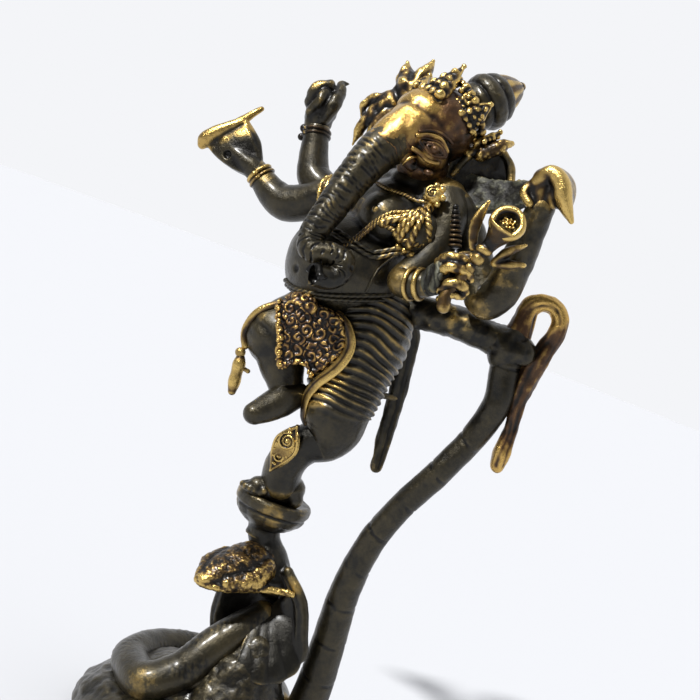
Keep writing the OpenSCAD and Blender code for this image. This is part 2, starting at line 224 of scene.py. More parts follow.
def fuse(parts, grain=0.5, rounds=2):
    """Runs the parts together as wax does: one skin round them all, with soft inner corners."""
    whole = gather(parts)
    mesh = bpy.data.meshes.new("wax")
    whole.to_mesh(mesh)
    whole.free()
    holder = bpy.data.objects.new("wax", mesh)
    bpy.context.scene.collection.objects.link(holder)
    remesh = holder.modifiers.new("skin", "REMESH")
    remesh.mode = "VOXEL"
    remesh.voxel_size = grain
    remesh.adaptivity = 0
    bpy.context.view_layer.update()
    skinned = holder.evaluated_get(bpy.context.evaluated_depsgraph_get())
    bm = bmesh.new()
    bm.from_mesh(skinned.to_mesh())
    skinned.to_mesh_clear()
    bpy.data.objects.remove(holder)
    bpy.data.meshes.remove(mesh)
    for _ in range(rounds):
        bmesh.ops.smooth_vert(bm, verts=bm.verts, factor=0.5, use_axis_x=True, use_axis_y=True,
                              use_axis_z=True)
    bm.normal_update()
    return bm


def emboss(bm, height):
    """Raises each point of the skin by height(point) mm."""
    bm.normal_update()
    for v in bm.verts:
        v.co += v.normal * height(v.co)
    bm.normal_update()
    return bm


def skin_of(*parts):
    """What pieces are laid on: a search tree of the parts' faces, which stay usable."""
    whole = joined(parts)
    tree = BVHTree.FromBMesh(whole)
    whole.free()
    return tree


def lay(points, skin, lift, steps=5):
    """A smooth line through (x, y, z, radius) points, drawn on to a skin and lifted off it by lift mm."""
    laid = []
    for x, y, z, radius in smooth_line(points, steps):
        spot, normal, _, _ = skin.find_nearest(Vector((x, y, z)))
        laid.append((*(spot + normal * lift), radius))
    laid = np.array(laid)
    for _ in range(3):
        laid[1:-1] = (laid[:-2] + 2 * laid[1:-1] + laid[2:]) / 4
    return laid


def cord(points, skin, lift=0.2, sides=10, steps=5, twist=0):
    """A cord laid on a skin. twist cuts it into that many strand turns."""
    line = lay(points, skin, lift, steps)
    cut = (lambda t, a: 0.12 * math.sin(twist * math.tau * t + 2 * a)) if twist else None
    return tube(line, sides, 3 if twist else 1, cut)


def bead_row(points, skin, size, gap=1.9, lift=0.4):
    """Round beads in a row on a skin, each touching the next."""
    line = np.array(lay(points, skin, lift, 12))
    beads = []
    since = gap * size
    for before, here in zip(line, line[1:]):
        since += np.linalg.norm(here[:3] - before[:3])
        if since >= gap * size:
            beads.append(ball(here[:3], size, fineness=2))
            since = 0
    return beads


def scroll(centre, normal, size, turns=1.6, wire=0.5, hand=1, toward=(0, 0, 1)):
    """A flat spiral of wire that stands on a surface with the given normal, with a bead at its heart."""
    normal = Vector(normal).normalized()
    up = Vector(toward)
    up = (up - normal * up.dot(normal)).normalized()
    side = normal.cross(up) * hand
    stations = []
    for share in [k / 14 for k in range(15)]:
        a = math.tau * turns * share
        spot = Vector(centre) + (up * math.cos(a) + side * math.sin(a)) * size * (1 - 0.8 * share)
        stations.append((*spot, wire * (1 - 0.3 * share)))
    return [tube(stations, 8, 2), ball(Vector(centre) + normal * 0.2, size * 0.28, fineness=2)]


def mirrored(point, *rest):
    """The same place on the other side of the head."""
    offset = Vector(point) - HEAD_MIDDLE
    return (*(Vector(point) - HEAD_SIDE * 2 * offset.dot(HEAD_SIDE)), *rest)


def wrapped(t, a, length, girth):
    """A point for noise at share t along a limb and angle a round it, with no seam."""
    return Vector((length * t, girth * math.cos(a), girth * math.sin(a)))


def direction(azimuth, elevation):
    """The unit vector from the statue towards two angles in degrees, where azimuth 0 is its front."""
    a, e = math.radians(azimuth), math.radians(elevation)
    return Vector((math.sin(a) * math.cos(e), -math.cos(a) * math.cos(e), math.sin(e)))


def blotch(point, size):
    """Soft unevenness from -1 to 1 with lumps of about `size` mm."""
    return noise.noise(point / size)


def granules(point, size):
    """Close round grains, 0 in the gaps and 1 on top, about `size` mm apart."""
    return 1 - min(1, 1.6 * noise.voronoi(point / size)[0][0])


def fade(value, low, high):
    """0 below low, 1 above high, smooth between."""
    t = min(1, max(0, (value - low) / (high - low)))
    return t * t * (3 - 2 * t)


# ---------------------------------------------------------------- finishing a piece

def worn_heights(mesh):
    """How far each point stands above its surroundings, 0 to 1, with 0.5 for a flat stretch."""
    count = len(mesh.vertices)
    places = np.empty(count * 3)
    normals = np.empty(count * 3)
    edges = np.empty(len(mesh.edges) * 2, int)
    mesh.vertices.foreach_get("co", places)
    mesh.vertices.foreach_get("normal", normals)
    mesh.edges.foreach_get("vertices", edges)
    places = places.reshape(-1, 3) / MM
    normals = normals.reshape(-1, 3)
    a, b = edges.reshape(-1, 2).T
    spacing = np.linalg.norm(places[a] - places[b], axis=1).mean()
    neighbours = np.maximum(1, np.bincount(a, minlength=count) + np.bincount(b, minlength=count))
    around = places.copy()
    rounds = int(min(30, max(3, (WEAR_REACH / spacing) ** 2)))
    for _ in range(rounds):
        total = [np.bincount(a, around[b, k], count) + np.bincount(b, around[a, k], count) for k in range(3)]
        around = np.stack(total, 1) / neighbours[:, None]
    height = ((places - around) * normals).sum(1)
    height -= np.median(height)
    return np.clip(0.5 + height / WEAR_STEP, 0, 1)


def put_attribute(mesh, name, values):
    """Stores one number for each point, for the shader to read."""
    layer = mesh.attributes.new(name, "FLOAT", "POINT")
    layer.data.foreach_set("value", np.asarray(values, np.float32))


def finish(name, bm, nodes, slot, anchor="belly", wear_and_highlight_spots=(), uneven=0.14, dim=0.0):
    """Turns a shaped bmesh into a piece of the statue.

    The (place, reach, strength) spots are kept bright by handling on most pieces, and are painted highlights
    on the raised left arm; where strength is below 0 they are dark.
    dim keeps the whole piece from being bright; uneven is the wax's hand-worked unevenness in mm."""
    emboss(bm, lambda p: uneven * (blotch(p, 6) + 0.5 * blotch(p, 2.2)))
    bmesh.ops.recalc_face_normals(bm, faces=bm.faces)
    low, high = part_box(anchor)
    drift = (low + high) / 2 / MM - ANCHORS[anchor]
    bm.transform(Matrix.Scale(MM, 4) @ Matrix.Translation(drift))
    mesh = bpy.data.meshes.new(name + "_cast")
    bm.to_mesh(mesh)
    bm.free()
    mesh.shade_smooth()
    places = np.empty(len(mesh.vertices) * 3)
    mesh.vertices.foreach_get("co", places)
    places = places.reshape(-1, 3) / MM - np.array(drift)
    # Handling wear and painted highlights both go into this one attribute.
    bright = np.zeros(len(places))
    for spot, reach, strength in wear_and_highlight_spots:
        near = np.clip(2 - 2 * np.linalg.norm(places - np.array(spot), axis=1) / reach, 0, 1)
        bright = np.maximum(bright, strength * near) if strength > 0 else bright + strength * near
    put_attribute(mesh, "worn", worn_heights(mesh))
    put_attribute(mesh, "handling_and_highlight", bright - dim)
    piece = bpy.data.objects.new(name + "_cast", mesh)
    bpy.context.scene.collection.objects.link(piece)
    mesh.materials.append(bpy.data.materials["patina_" + slot])
    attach(piece, "root")
    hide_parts(*nodes)
    return piece


# ---------------------------------------------------------------- materials

def linear(code):
    """An sRGB hex colour as linear RGBA."""
    parts = [int(code[i:i + 2], 16) / 255 for i in (1, 3, 5)]
    return (*[c / 12.92 if c <= 0.04045 else ((c + 0.055) / 1.055) ** 2.4 for c in parts], 1)


def add(tree, kind, settings=(), links=()):
    """Adds a node, sets its properties and input values, and links its inputs."""
    made = tree.nodes.new(kind)
    for key, value in dict(settings).items():
        if isinstance(key, str) and hasattr(made, key):
            setattr(made, key, value)
        else:
            made.inputs[key].default_value = value
    for key, source in dict(links).items():
        tree.links.new(source, made.inputs[key])
    return made


def speckle(tree, here, size, detail, roughness):
    """Noise from 0 to 1 with spots of the given size in metres."""
    return add(tree, "ShaderNodeTexNoise", {"Scale": 1 / size, "Detail": detail, "Roughness": roughness},
               {"Vector": here}).outputs["Fac"]


def share_of(tree, value, share, rest):
    """value * share + rest, where rest is a number or another node's output."""
    fixed = isinstance(rest, float)
    settings = {"operation": "MULTIPLY_ADD", 1: share, **({2: rest} if fixed else {})}
    return add(tree, "ShaderNodeMath", settings, {0: value, **({} if fixed else {2: rest})}).outputs[0]


def ramp(tree, value, low, high, bottom=0.0, top=1.0):
    """bottom where value is at low, top where it is at high, straight between and level outside."""
    limits = {"From Min": low, "From Max": high, "To Min": bottom, "To Max": top}
    return add(tree, "ShaderNodeMapRange", limits, {"Value": value}).outputs[0]


def over(tree, share, under, colour):
    """A hex colour laid over another colour, as far as share says."""
    return add(tree, "ShaderNodeMix", {"data_type": "RGBA", 7: linear(colour)},
               {0: share, 6: under}).outputs[2]


def patinated(name, dark, mid, bright, wear, edges, verdigris=0.0, gloss=0.3):
    """Cast brass under a chemical patina, rubbed back to metal where hands and cloth reach, and bared as a
    painted highlight where a piece is given highlight spots.

    wear shifts the whole piece towards bare metal and edges does so for what stands proud; verdigris is
    the share of green corrosion, and gloss the weight of the wax coat."""
    material = bpy.data.materials.new("patina_" + name)
    material.use_nodes = True
    tree = material.node_tree
    tree.nodes.clear()
    here = add(tree, "ShaderNodeTexCoord").outputs["Object"]
    worn = add(tree, "ShaderNodeAttribute", {"attribute_name": "worn"}).outputs["Fac"]
    handling_and_highlight = add(tree, "ShaderNodeAttribute", {"attribute_name": "handling_and_highlight"}).outputs["Fac"]
    # Clouds of thicker and thinner patina, 7 mm across, with 1.2 mm mottling in them and casting grain
    clouds = speckle(tree, here, 0.007, 5, 0.62)
    mottle = speckle(tree, here, 0.0012, 4, 0.7)
    sand = speckle(tree, here, 0.00045, 3, 0.65)
    # How far the patina is taken back to metal: by standing proud, by chance, by handling, and by painted
    # highlight spots
    proud = share_of(tree, worn, edges, wear - 0.5 * edges - 0.7)
    patchy = share_of(tree, mottle, 0.5, share_of(tree, clouds, 0.9, proud))
    # The handling attribute also carries painted highlights into how far the metal shows.
    rubbed = share_of(tree, handling_and_highlight, 0.9, patchy)
    bare = ramp(tree, rubbed, 0.3, 0.85)
    thin = ramp(tree, rubbed, -0.2, 0.45)
    patina = add(tree, "ShaderNodeMix", {"data_type": "RGBA", 6: linear(dark), 7: linear(mid)},
                 {0: thin}).outputs[2]
    metal = over(tree, bare, patina, bright)
    grimy = over(tree, ramp(tree, worn, 0.46, 0.2, 0.0, 0.85), metal, "#0c0906")
    green = ramp(tree, clouds, 0.72 - verdigris * 0.5, 0.95 - verdigris * 0.5, 0.0, min(1, 0.25 + verdigris))
    colour = over(tree, green, grimy, "#4c5044")
    metallic = ramp(tree, bare, 0.0, 1.0, 0.4 + gloss, 1.0)
    dull = ramp(tree, bare, 0.0, 1.0, 0.42 - gloss / 2, 0.17)
    roughness = share_of(tree, mottle, 0.16, dull)
    pits = share_of(tree, sand, 0.5, mottle)
    bump = add(tree, "ShaderNodeBump", {"Strength": 0.8, "Distance": 0.00027}, {"Height": pits}).outputs[0]
    # A thin wax coat over the patina gives the dark parts their sheen
    surface = {"Base Color": colour, "Metallic": metallic, "Roughness": roughness, "Normal": bump}
    shader = add(tree, "ShaderNodeBsdfPrincipled", {"Coat Weight": gloss, "Coat Roughness": 0.22}, surface)
    add(tree, "ShaderNodeOutputMaterial", {}, {"Surface": shader.outputs[0]})
    return material


class FinishSettings(bpy.types.PropertyGroup):
    """How far handling has rubbed the patina back, by finish."""
    dark_wear: FloatProperty(name="Dark bronze wear", description="Shift of the dark castings towards metal",
                             default=0.0, min=-0.5, max=0.5)
    brass_wear: FloatProperty(name="Brass wear", description="Shift of the ornaments towards metal",
                              default=0.32, min=-0.5, max=0.8)


class StageSettings(bpy.types.PropertyGroup):
    """Camera and studio."""
    azimuth: FloatProperty(name="Azimuth", description="Camera's turn to the figure's left, degrees",
                           default=35)
    elevation: FloatProperty(name="Elevation", description="Camera's height angle, degrees", default=6)
    roll: FloatProperty(name="Roll", description="How far the statue leans in the picture, degrees",
                        default=21)
    distance: FloatProperty(name="Distance", description="From the aim to the camera", default=0.406,
                            unit="LENGTH")
    lens: FloatProperty(name="Lens", description="Focal length on a 36 mm sensor, in mm", default=65)
    floor_radius: FloatProperty(name="Floor radius", description="Radius of the pale floor", default=2.5,
                                unit="LENGTH")
    floor_colour: FloatVectorProperty(name="Floor colour", description="Pale floor", subtype="COLOR",
                                      default=linear("#c3c4c7")[:3])


# ---------------------------------------------------------------- operators

class DEITY_OT_finishes(bpy.types.Operator):
    """Makes the four finishes of the casting"""
    bl_idname = "deity.finishes"
    bl_label = "Patina finishes"

    def execute(self, context):
        wear = context.scene.deity_finish
        # Liver-of-sulphur patina over brass: near-black brown, olive in the light, metal on the edges
        patinated("dark_bronze", "#1a1812", "#48402b", "#b99a58", wear.dark_wear, 1.2)
        # The same casting rubbed bright: pale yellow brass with brown left in the hollows
        patinated("rubbed_brass", "#1a130a", "#5c441f", "#d2b268", wear.brass_wear, 2.4)
        # Brass with a warm red-brown bloom from heat: coppery in the light
        patinated("copper_bronze", "#1b110a", "#5e4023", "#cba65c", wear.brass_wear * 0.55, 1.5)
        # Damp corrosion over patina: dull, grey-green, chalky
        patinated("verdigris_bronze", "#24231d", "#5c5b4b", "#a89562", -0.05, 1.2, 0.35, 0.0)
        return {"FINISHED"}


class DEITY_OT_base(bpy.types.Operator):
    """Adds the rocky base with the outcrop under the cobra's hood"""
    bl_idname = "deity.base"
    bl_label = "Rocky base"

    def execute(self, context):
        slab = lathe([(0, 0), (38.6, 0), (39.6, 3), (38.6, 8), (33, 14), (22, 18), (0, 18.6)])
        rock = tube([(12, 0, 14, 19), (13, 0, 22, 18), (14, 0, 31, 14), (15, 1, 38, 10)], 48)
        bm = fuse([slab, rock, ball((-2, -4, 19), (19, 19, 9))], 0.6, 1)

        def craggy(p):
            above = fade(p.z, 1, 6)
            rough = fade(p.z, 15, 24)
            stones = 0.7 * blotch(p, 7) + 0.3 * blotch(p, 2.5)
            return above * (stones + rough * (0.2 * granules(p, 0.95) - 0.07))
        emboss(bm, craggy)
        for v in bm.verts:
            v.co.z = 0 if v.co.z < 0.6 else v.co.z
        finish("rocky_base", bm, ["base"], "dark_bronze", "base",
               [((-2, -30, 16), 14, 0.15), ((6, -18, 27), 14, 0.15)], 0, 0.12)
        return {"FINISHED"}


class DEITY_OT_snake(bpy.types.Operator):
    """Adds the snake's coil and neck, the cobra's hood and head, and the tail"""
    bl_idname = "deity.snake"
    bl_label = "Snake"

    def execute(self, context):
        self.body()
        self.hood()
        self.head()
        self.tail()
        return {"FINISHED"}

    def body(self):
        """The coil round the base and the neck that rises from its front."""
        coil = [(COIL_RADIUS * math.cos(a), COIL_RADIUS * math.sin(a) - 1, 20 + math.sin(a), 6.1)
                for a in [math.radians(turn) for turn in range(40, 240, 20)]]
        neck = [(-5, -24, 20.5, 6.4), (2, -17, 27, 6.4), (5, -12, 35, 6.2), (8, -5, 43, 6), (11, 1, 51, 4.4)]

        def scales(t, a):
            patch_here = fade(blotch(Vector((12 * t, a, 5)), 1), 0.05, 0.3)
            scale = abs(math.sin(t * math.tau * 30 + 5 * a) * math.sin(t * math.tau * 30 - 5 * a))
            return 0.3 * patch_here * (scale - 0.5) + 0.18 * blotch(Vector((30 * t, a, 1)), 1)
        body = tube(coil + neck, 48, 14, scales)
        finish("snake_body", body, ["coil_front", "coil_back", "cobra_neck"], "dark_bronze", "base",
               [((8, -10, 38), 9, 0.25), ((-3, -24, 24), 10, 0.1)])

    def hood(self):
        """The spread hood with rolled rims and a ribbed lower skirt, and the stalk under the cup."""
        seam = tube([(-4, -20, 19, 1.2), (5, -17, 23, 1.5), (12, -12, 31, 1.6), (18, -5, 39, 1.6),
                     (23, 0, 43, 1.2)], 12, 6)
        rows = [[(-1, -2, 67), (3, 3, 69), (7, 4, 70), (11, 3, 69.5), (15, 0.5, 68)],
                [(-5, -2.5, 58), (1, 4, 60), (9, 6.5, 61), (17, 6, 61.5), (23, 2.5, 61)],
                [(-6, -1.5, 48), (2, 6, 50), (12, 8, 51), (20.5, 7.5, 51.5), (27, 3.4, 52)],
                [(-5, -0.5, 40), (3, 6, 41), (13, 8, 41), (20.6, 7.4, 42.4), (28.6, 4.4, 44.4)],
                [(0, 1, 32), (6, 4, 33), (13, 5, 34), (18, 4, 35), (22, 1, 37)]]
        shell = patch(rows, 2.6, 5)
        left_rim = tube([(*row[0], 1.5) for row in rows], 12)
        right_rim = tube([(*row[-1], 1.7) for row in rows], 12)
        stalk = tube([(8, 4, 62, 6.5), (5, 2, 68, 6), (2, 1, 72, 5.2), (0.5, 0, 75.5, 5.4)], 24)
        belly_pad = ball((12, 2, 42), (9, 6, 8))
        side_pad = ball((18.4, 4.4, 57.4), (4, 2.6, 6.6), (0, 12, 0))
        skirt = [[(14, 6.4, 60), (20, 6, 59), (26, 3.4, 57)], [(12, 0, 51), (20, 2.8, 52), (27.6, 4.4, 52)],
                 [(13, -6, 44), (20.4, -0.8, 45), (29, 5, 46)],
                 [(15.4, -9.6, 37.6), (23, -4.2, 38.6), (29.2, 4.2, 40.4)],
                 [(15.6, -10.4, 34.4), (23, -6.4, 33.4), (27.6, 0, 35.6)]]
        hood = fuse([shell, left_rim, right_rim, stalk, belly_pad, side_pad, seam, patch(skirt, 1.6, 5)],
                    0.4, 5)

        def streaks(p):
            low = fade(52 - p.z, 0, 8) * fade(p.x, 12, 16)
            fan = math.atan2(p.z - 62, 0.82 * p.x + 0.57 * p.y - 8)
            return 0.3 * low * (abs(math.sin(16 * fan)) - 0.5) + 0.12 * blotch(p, 3)
        emboss(hood, streaks)
        finish("cobra_hood", hood, ["cobra_hood"], "dark_bronze", "base",
               [((19, 0, 65), 5, 0.45), ((12, -4, 42), 7, 0.2)], 0.05, 0.24)

    def head(self):
        """The grained head, bent forward, with a lip that runs round it."""
        crest = tube([(4, 0, 69, 6), (3, -6, 67.5, 6.6), (2, -12, 64.5, 6.2), (1, -17, 61.5, 5),
                      (0.5, -20, 59.5, 3.2)], 32, 6, None, 0.62, (0, -0.5, 0.86))
        cheek = tube([(-3, -9, 64, 4), (-4, -14, 61.5, 3.6), (-2, -19, 59, 2.6)], 20, 5)
        far_cheek = tube([(9, -4, 66, 4), (10, -9, 63, 3.8), (6, -16, 60, 2.8)], 20, 5)
        lip = tube([(-5.5, -11, 61, 1.2), (-4.5, -17, 59, 1.3), (-0.5, -21.5, 57.6, 1.4),
                    (5, -18.5, 58, 1.4), (9.5, -12, 59.5, 1.4), (14, -5, 61.5, 1.4), (20, -0.5, 62.5, 1.3)],
                   12, 6)
        head = fuse([crest, cheek, far_cheek, lip], 0.33, 1)
        emboss(head, lambda p: 0.2 * granules(p, 0.75) + 0.35 * blotch(p, 3.4) + 0.18 * blotch(p, 1.3) - 0.1)
        finish("cobra_head", head, ["cobra_head"], "rubbed_brass", "base",
               [((2, -20, 57), 7, 0.3), ((12, -8, 60), 9, 0.35)], 0, 0.22)

    def tail(self):
        """The tail, which climbs behind the figure in a long S, with cuts round it."""
        def bands(t, a):
            cut = fade(math.sin(t * math.tau * TAIL_BANDS + 0.6 * math.sin(a)), 0.95, 1)
            here = fade(blotch(Vector((9 * t, a, 4)), 1), -0.2, 0.2)
            return 0.12 * blotch(Vector((40 * t, a, 2)), 1) - 0.35 * cut * here
        tail = tube([(27, 17, 13, 6.6), (28, 19, 24, 6.3), (28.3, 19, 36, 6), (28.5, 17, 50, 5.6),
                     (29.2, 14, 68, 5), (32, 13, 86, 4.5), (37, 14, 101, 4.2), (44, 16, 116, 4.2),
                     (49, 19, 130, 4.2), (52, 20, 143, 4.5), (50.5, 20, 153, 5), (49, 19, 161, 5)],
                    40, 22, bands)
        finish("snake_tail", tail, ["tail"], "dark_bronze", "base", [((28, 12, 20), 14, 0.25)], 0.12)


class DEITY_OT_cup(bpy.types.Operator):
    """Adds the lotus cup that carries the figure"""
    bl_idname = "deity.cup"
    bl_label = "Lotus cup"

    def execute(self, context):
        outline = [(0, 73.5), (5.4, 73.5), (5.0, 75.2), (5.6, 77), (8.2, 78.6), (10.6, 80.6), (11.6, 82.6),
                   (11.4, 83.4), (12.2, 83.9), (12.5, 85), (12.5, 86.4), (12.1, 87.5), (11.2, 88),
                   (9.5, 87.6), (0, 87.4)]
        bm = fuse([lathe(outline)], 0.35, 1)

        def petals(p):
            turn = math.atan2(p.y, p.x)
            bowl = fade(p.z, 77.3, 78.6) * fade(83.4 - p.z, 0, 0.8)
            rim = fade(p.z, 84, 84.6) * fade(87.2 - p.z, 0, 0.5)
            leaf = abs(math.cos(CUP_PETALS / 2 * turn + 0.3))
            return bowl * 0.3 * (leaf - 0.45) + rim * 0.3 * blotch(p, 4) + 0.15 * blotch(p, 3)
        emboss(bm, petals)
        finish("lotus_cup", bm, ["lotus_cup"], "dark_bronze", "lotus_cup",
               [((-9, -8, 86), 6, 0.45), ((8, -9, 83), 6, 0.3)], 0.1)
        return {"FINISHED"}


class DEITY_OT_legs(bpy.types.Operator):
    """Adds the standing and raised legs, in pleated cloth"""
    bl_idname = "deity.legs"
    bl_label = "Legs"

    def execute(self, context):
        self.foot_and_shin()
        self.thigh()
        self.raised_leg()
        return {"FINISHED"}

    def foot_and_shin(self):
        """The standing foot, with its heel and five toes, and the shin."""
        foot = [tube([(5, -1, 92.4, 5), (3.6, -4, 92, 5), (1.4, -7.4, 91, 4.2), (-0.5, -10, 90.4, 3.5)], 24),
                tube([(8, -1, 90, 3), (6.6, -2, 92.6, 4.6)], 20)]
        for k in range(5):
            tip = (-4.4 + 1.6 * k, -13 - 0.4 * k + k * k * 0.2, 89.6, 1.2)
            foot.append(tube([(-3.2 + 1.5 * k, -9 - 0.5 * k, 90.4, 1.5), tip], 12))
        finish("standing_foot", fuse(foot, 0.35, 2), ["standing_foot"], "dark_bronze")

        shin = tube([(14, -6.6, 113, 7), (10.4, -8.4, 110, 6.4), (7, -8.8, 105.6, 6.3),
                     (4.6, -7.8, 100, 6.3), (3.4, -5.4, 94.4, 6.4)],
                    36, 8)
        finish("standing_shin", shin, ["standing_shin"], "dark_bronze",
               wear_and_highlight_spots=[((3, -11, 100), 6, 0.2), ((14, -7, 115), 11, -0.8)])

    def thigh(self):
        """The standing thigh in cloth that is pleated all round it, down to the knee."""
        def pleats(t, a):
            cloth = fade(0.74 - t, 0, 0.06)
            sweep = t * THIGH_PLEATS + 0.6 * math.sin(a + 0.6) + 0.5 * blotch(wrapped(t, a, 4, 1), 0.8)
            fold = abs(math.sin(math.pi * sweep))
            return cloth * (0.8 * fold ** 1.8 - 0.3 + 0.25 * blotch(wrapped(t, a, 30, 2), 1))
        thigh = tube([(8, -1, 158, 13.2), (10.8, -2.2, 152, 14), (12.8, -3.4, 146, 13.9),
                      (13.6, -5, 138, 12.8), (14.2, -5.9, 130.5, 11.8), (14.9, -6.6, 123.6, 10.8),
                      (15.4, -6.2, 117.6, 9.6), (14.2, -6.4, 113, 7.3), (11, -8, 109.6, 5)],
                     128, 30, pleats)
        SKINS["thigh"] = skin_of(thigh)
        finish("standing_thigh", thigh, ["standing_thigh"], "dark_bronze", wear_and_highlight_spots=[((11, -17, 126), 8, 0.6),
                                                                                 ((13, -17, 132), 10, 0.5),
                                                                                 ((9, -14, 119), 6, 0.4),
                                                                                 ((11, -9, 108), 7, -0.8)])

    def raised_leg(self):
        """The raised thigh and shin as one casting, and the foot."""
        raised = fuse([tube([(-2, -5, 147, 12.6), (-5, -11, 143.6, 12), (-8, -17, 139.6, 10.4),
                             (-8.8, -18.4, 137.4, 9.4)],
                            48),
                       tube([(-8, -18, 137.6, 8.8), (-4.3, -17.8, 132, 7.4), (-1.5, -17, 127.6, 6.4),
                             (1, -16.4, 124, 5.4)],
                            36)],
                      0.5, 4)
        emboss(raised, lambda p: 0.4 * blotch(p, 5))
        SKINS["raised"] = skin_of(raised)
        finish("raised_leg", raised, ["raised_thigh", "raised_shin"], "dark_bronze",
               wear_and_highlight_spots=[((-12, -26, 143), 6, 0.3)])
        sole = fuse([tube([(4.6, -15.2, 123.6, 4.2), (3.5, -19.3, 121, 5), (2.5, -23.7, 117.7, 4.6),
                           (1.6, -28, 114.9, 3.6)],
                          24),
                     ball((2, -17.6, 121.6), (5.4, 5, 4.8))],
                    0.4, 4)
        finish("raised_foot", sole, ["raised_foot"], "dark_bronze")


class DEITY_OT_torso(bpy.types.Operator):
    """Adds the belly, chest and hips as one casting"""
    bl_idname = "deity.torso"
    bl_label = "Torso"

    def execute(self, context):
        parts = [ball((-1, -6, 165), (20, 20, 18.8)), ball((-4, -2, 152), (15, 14, 12)),
                 ball((7, 0, 152), (15, 14.5, 12)), ball((7, -3, 185), (14, 12.5, 13)),
                 ball((8, -1, 197), (8.5, 8, 6)), ball((8.6, -10.6, 184.4), (8.6, 8.2, 8.4)),
                 ball((20, -8, 183.4), (8, 7.6, 8)),
                 tube([(-5, 2, 190, 8), (4, 1, 193, 9), (14, 1, 194, 9), (21, 0, 193, 7.5)], 32)]
        torso = fuse(parts, 0.55, 6)

        def modelling(p):
            nipple = 0.7 * fade(1.3 - (p - Vector((9.8, -18.7, 185.8))).length, 0, 0.8)
            navel = -1.2 * fade(2.2 - (p - Vector((-6, -25.5, 160))).length, 0, 2)
            return nipple + navel
        emboss(torso, modelling)
        SKINS["torso"] = skin_of(torso)
        upper = tube([(20, 0, 196, 7), (25, -2.4, 191, 6), (27, -4.6, 184, 5.2), (26, -7.6, 176, 5)], 24)
        SKINS["chest"] = skin_of(torso, upper)
        upper.free()
        finish("torso", torso, ["belly", "chest", "hips"], "dark_bronze",
               wear_and_highlight_spots=[((9, -19, 188), 6, 0.18), ((26, -12, 168), 8, 0.35)])
        return {"FINISHED"}


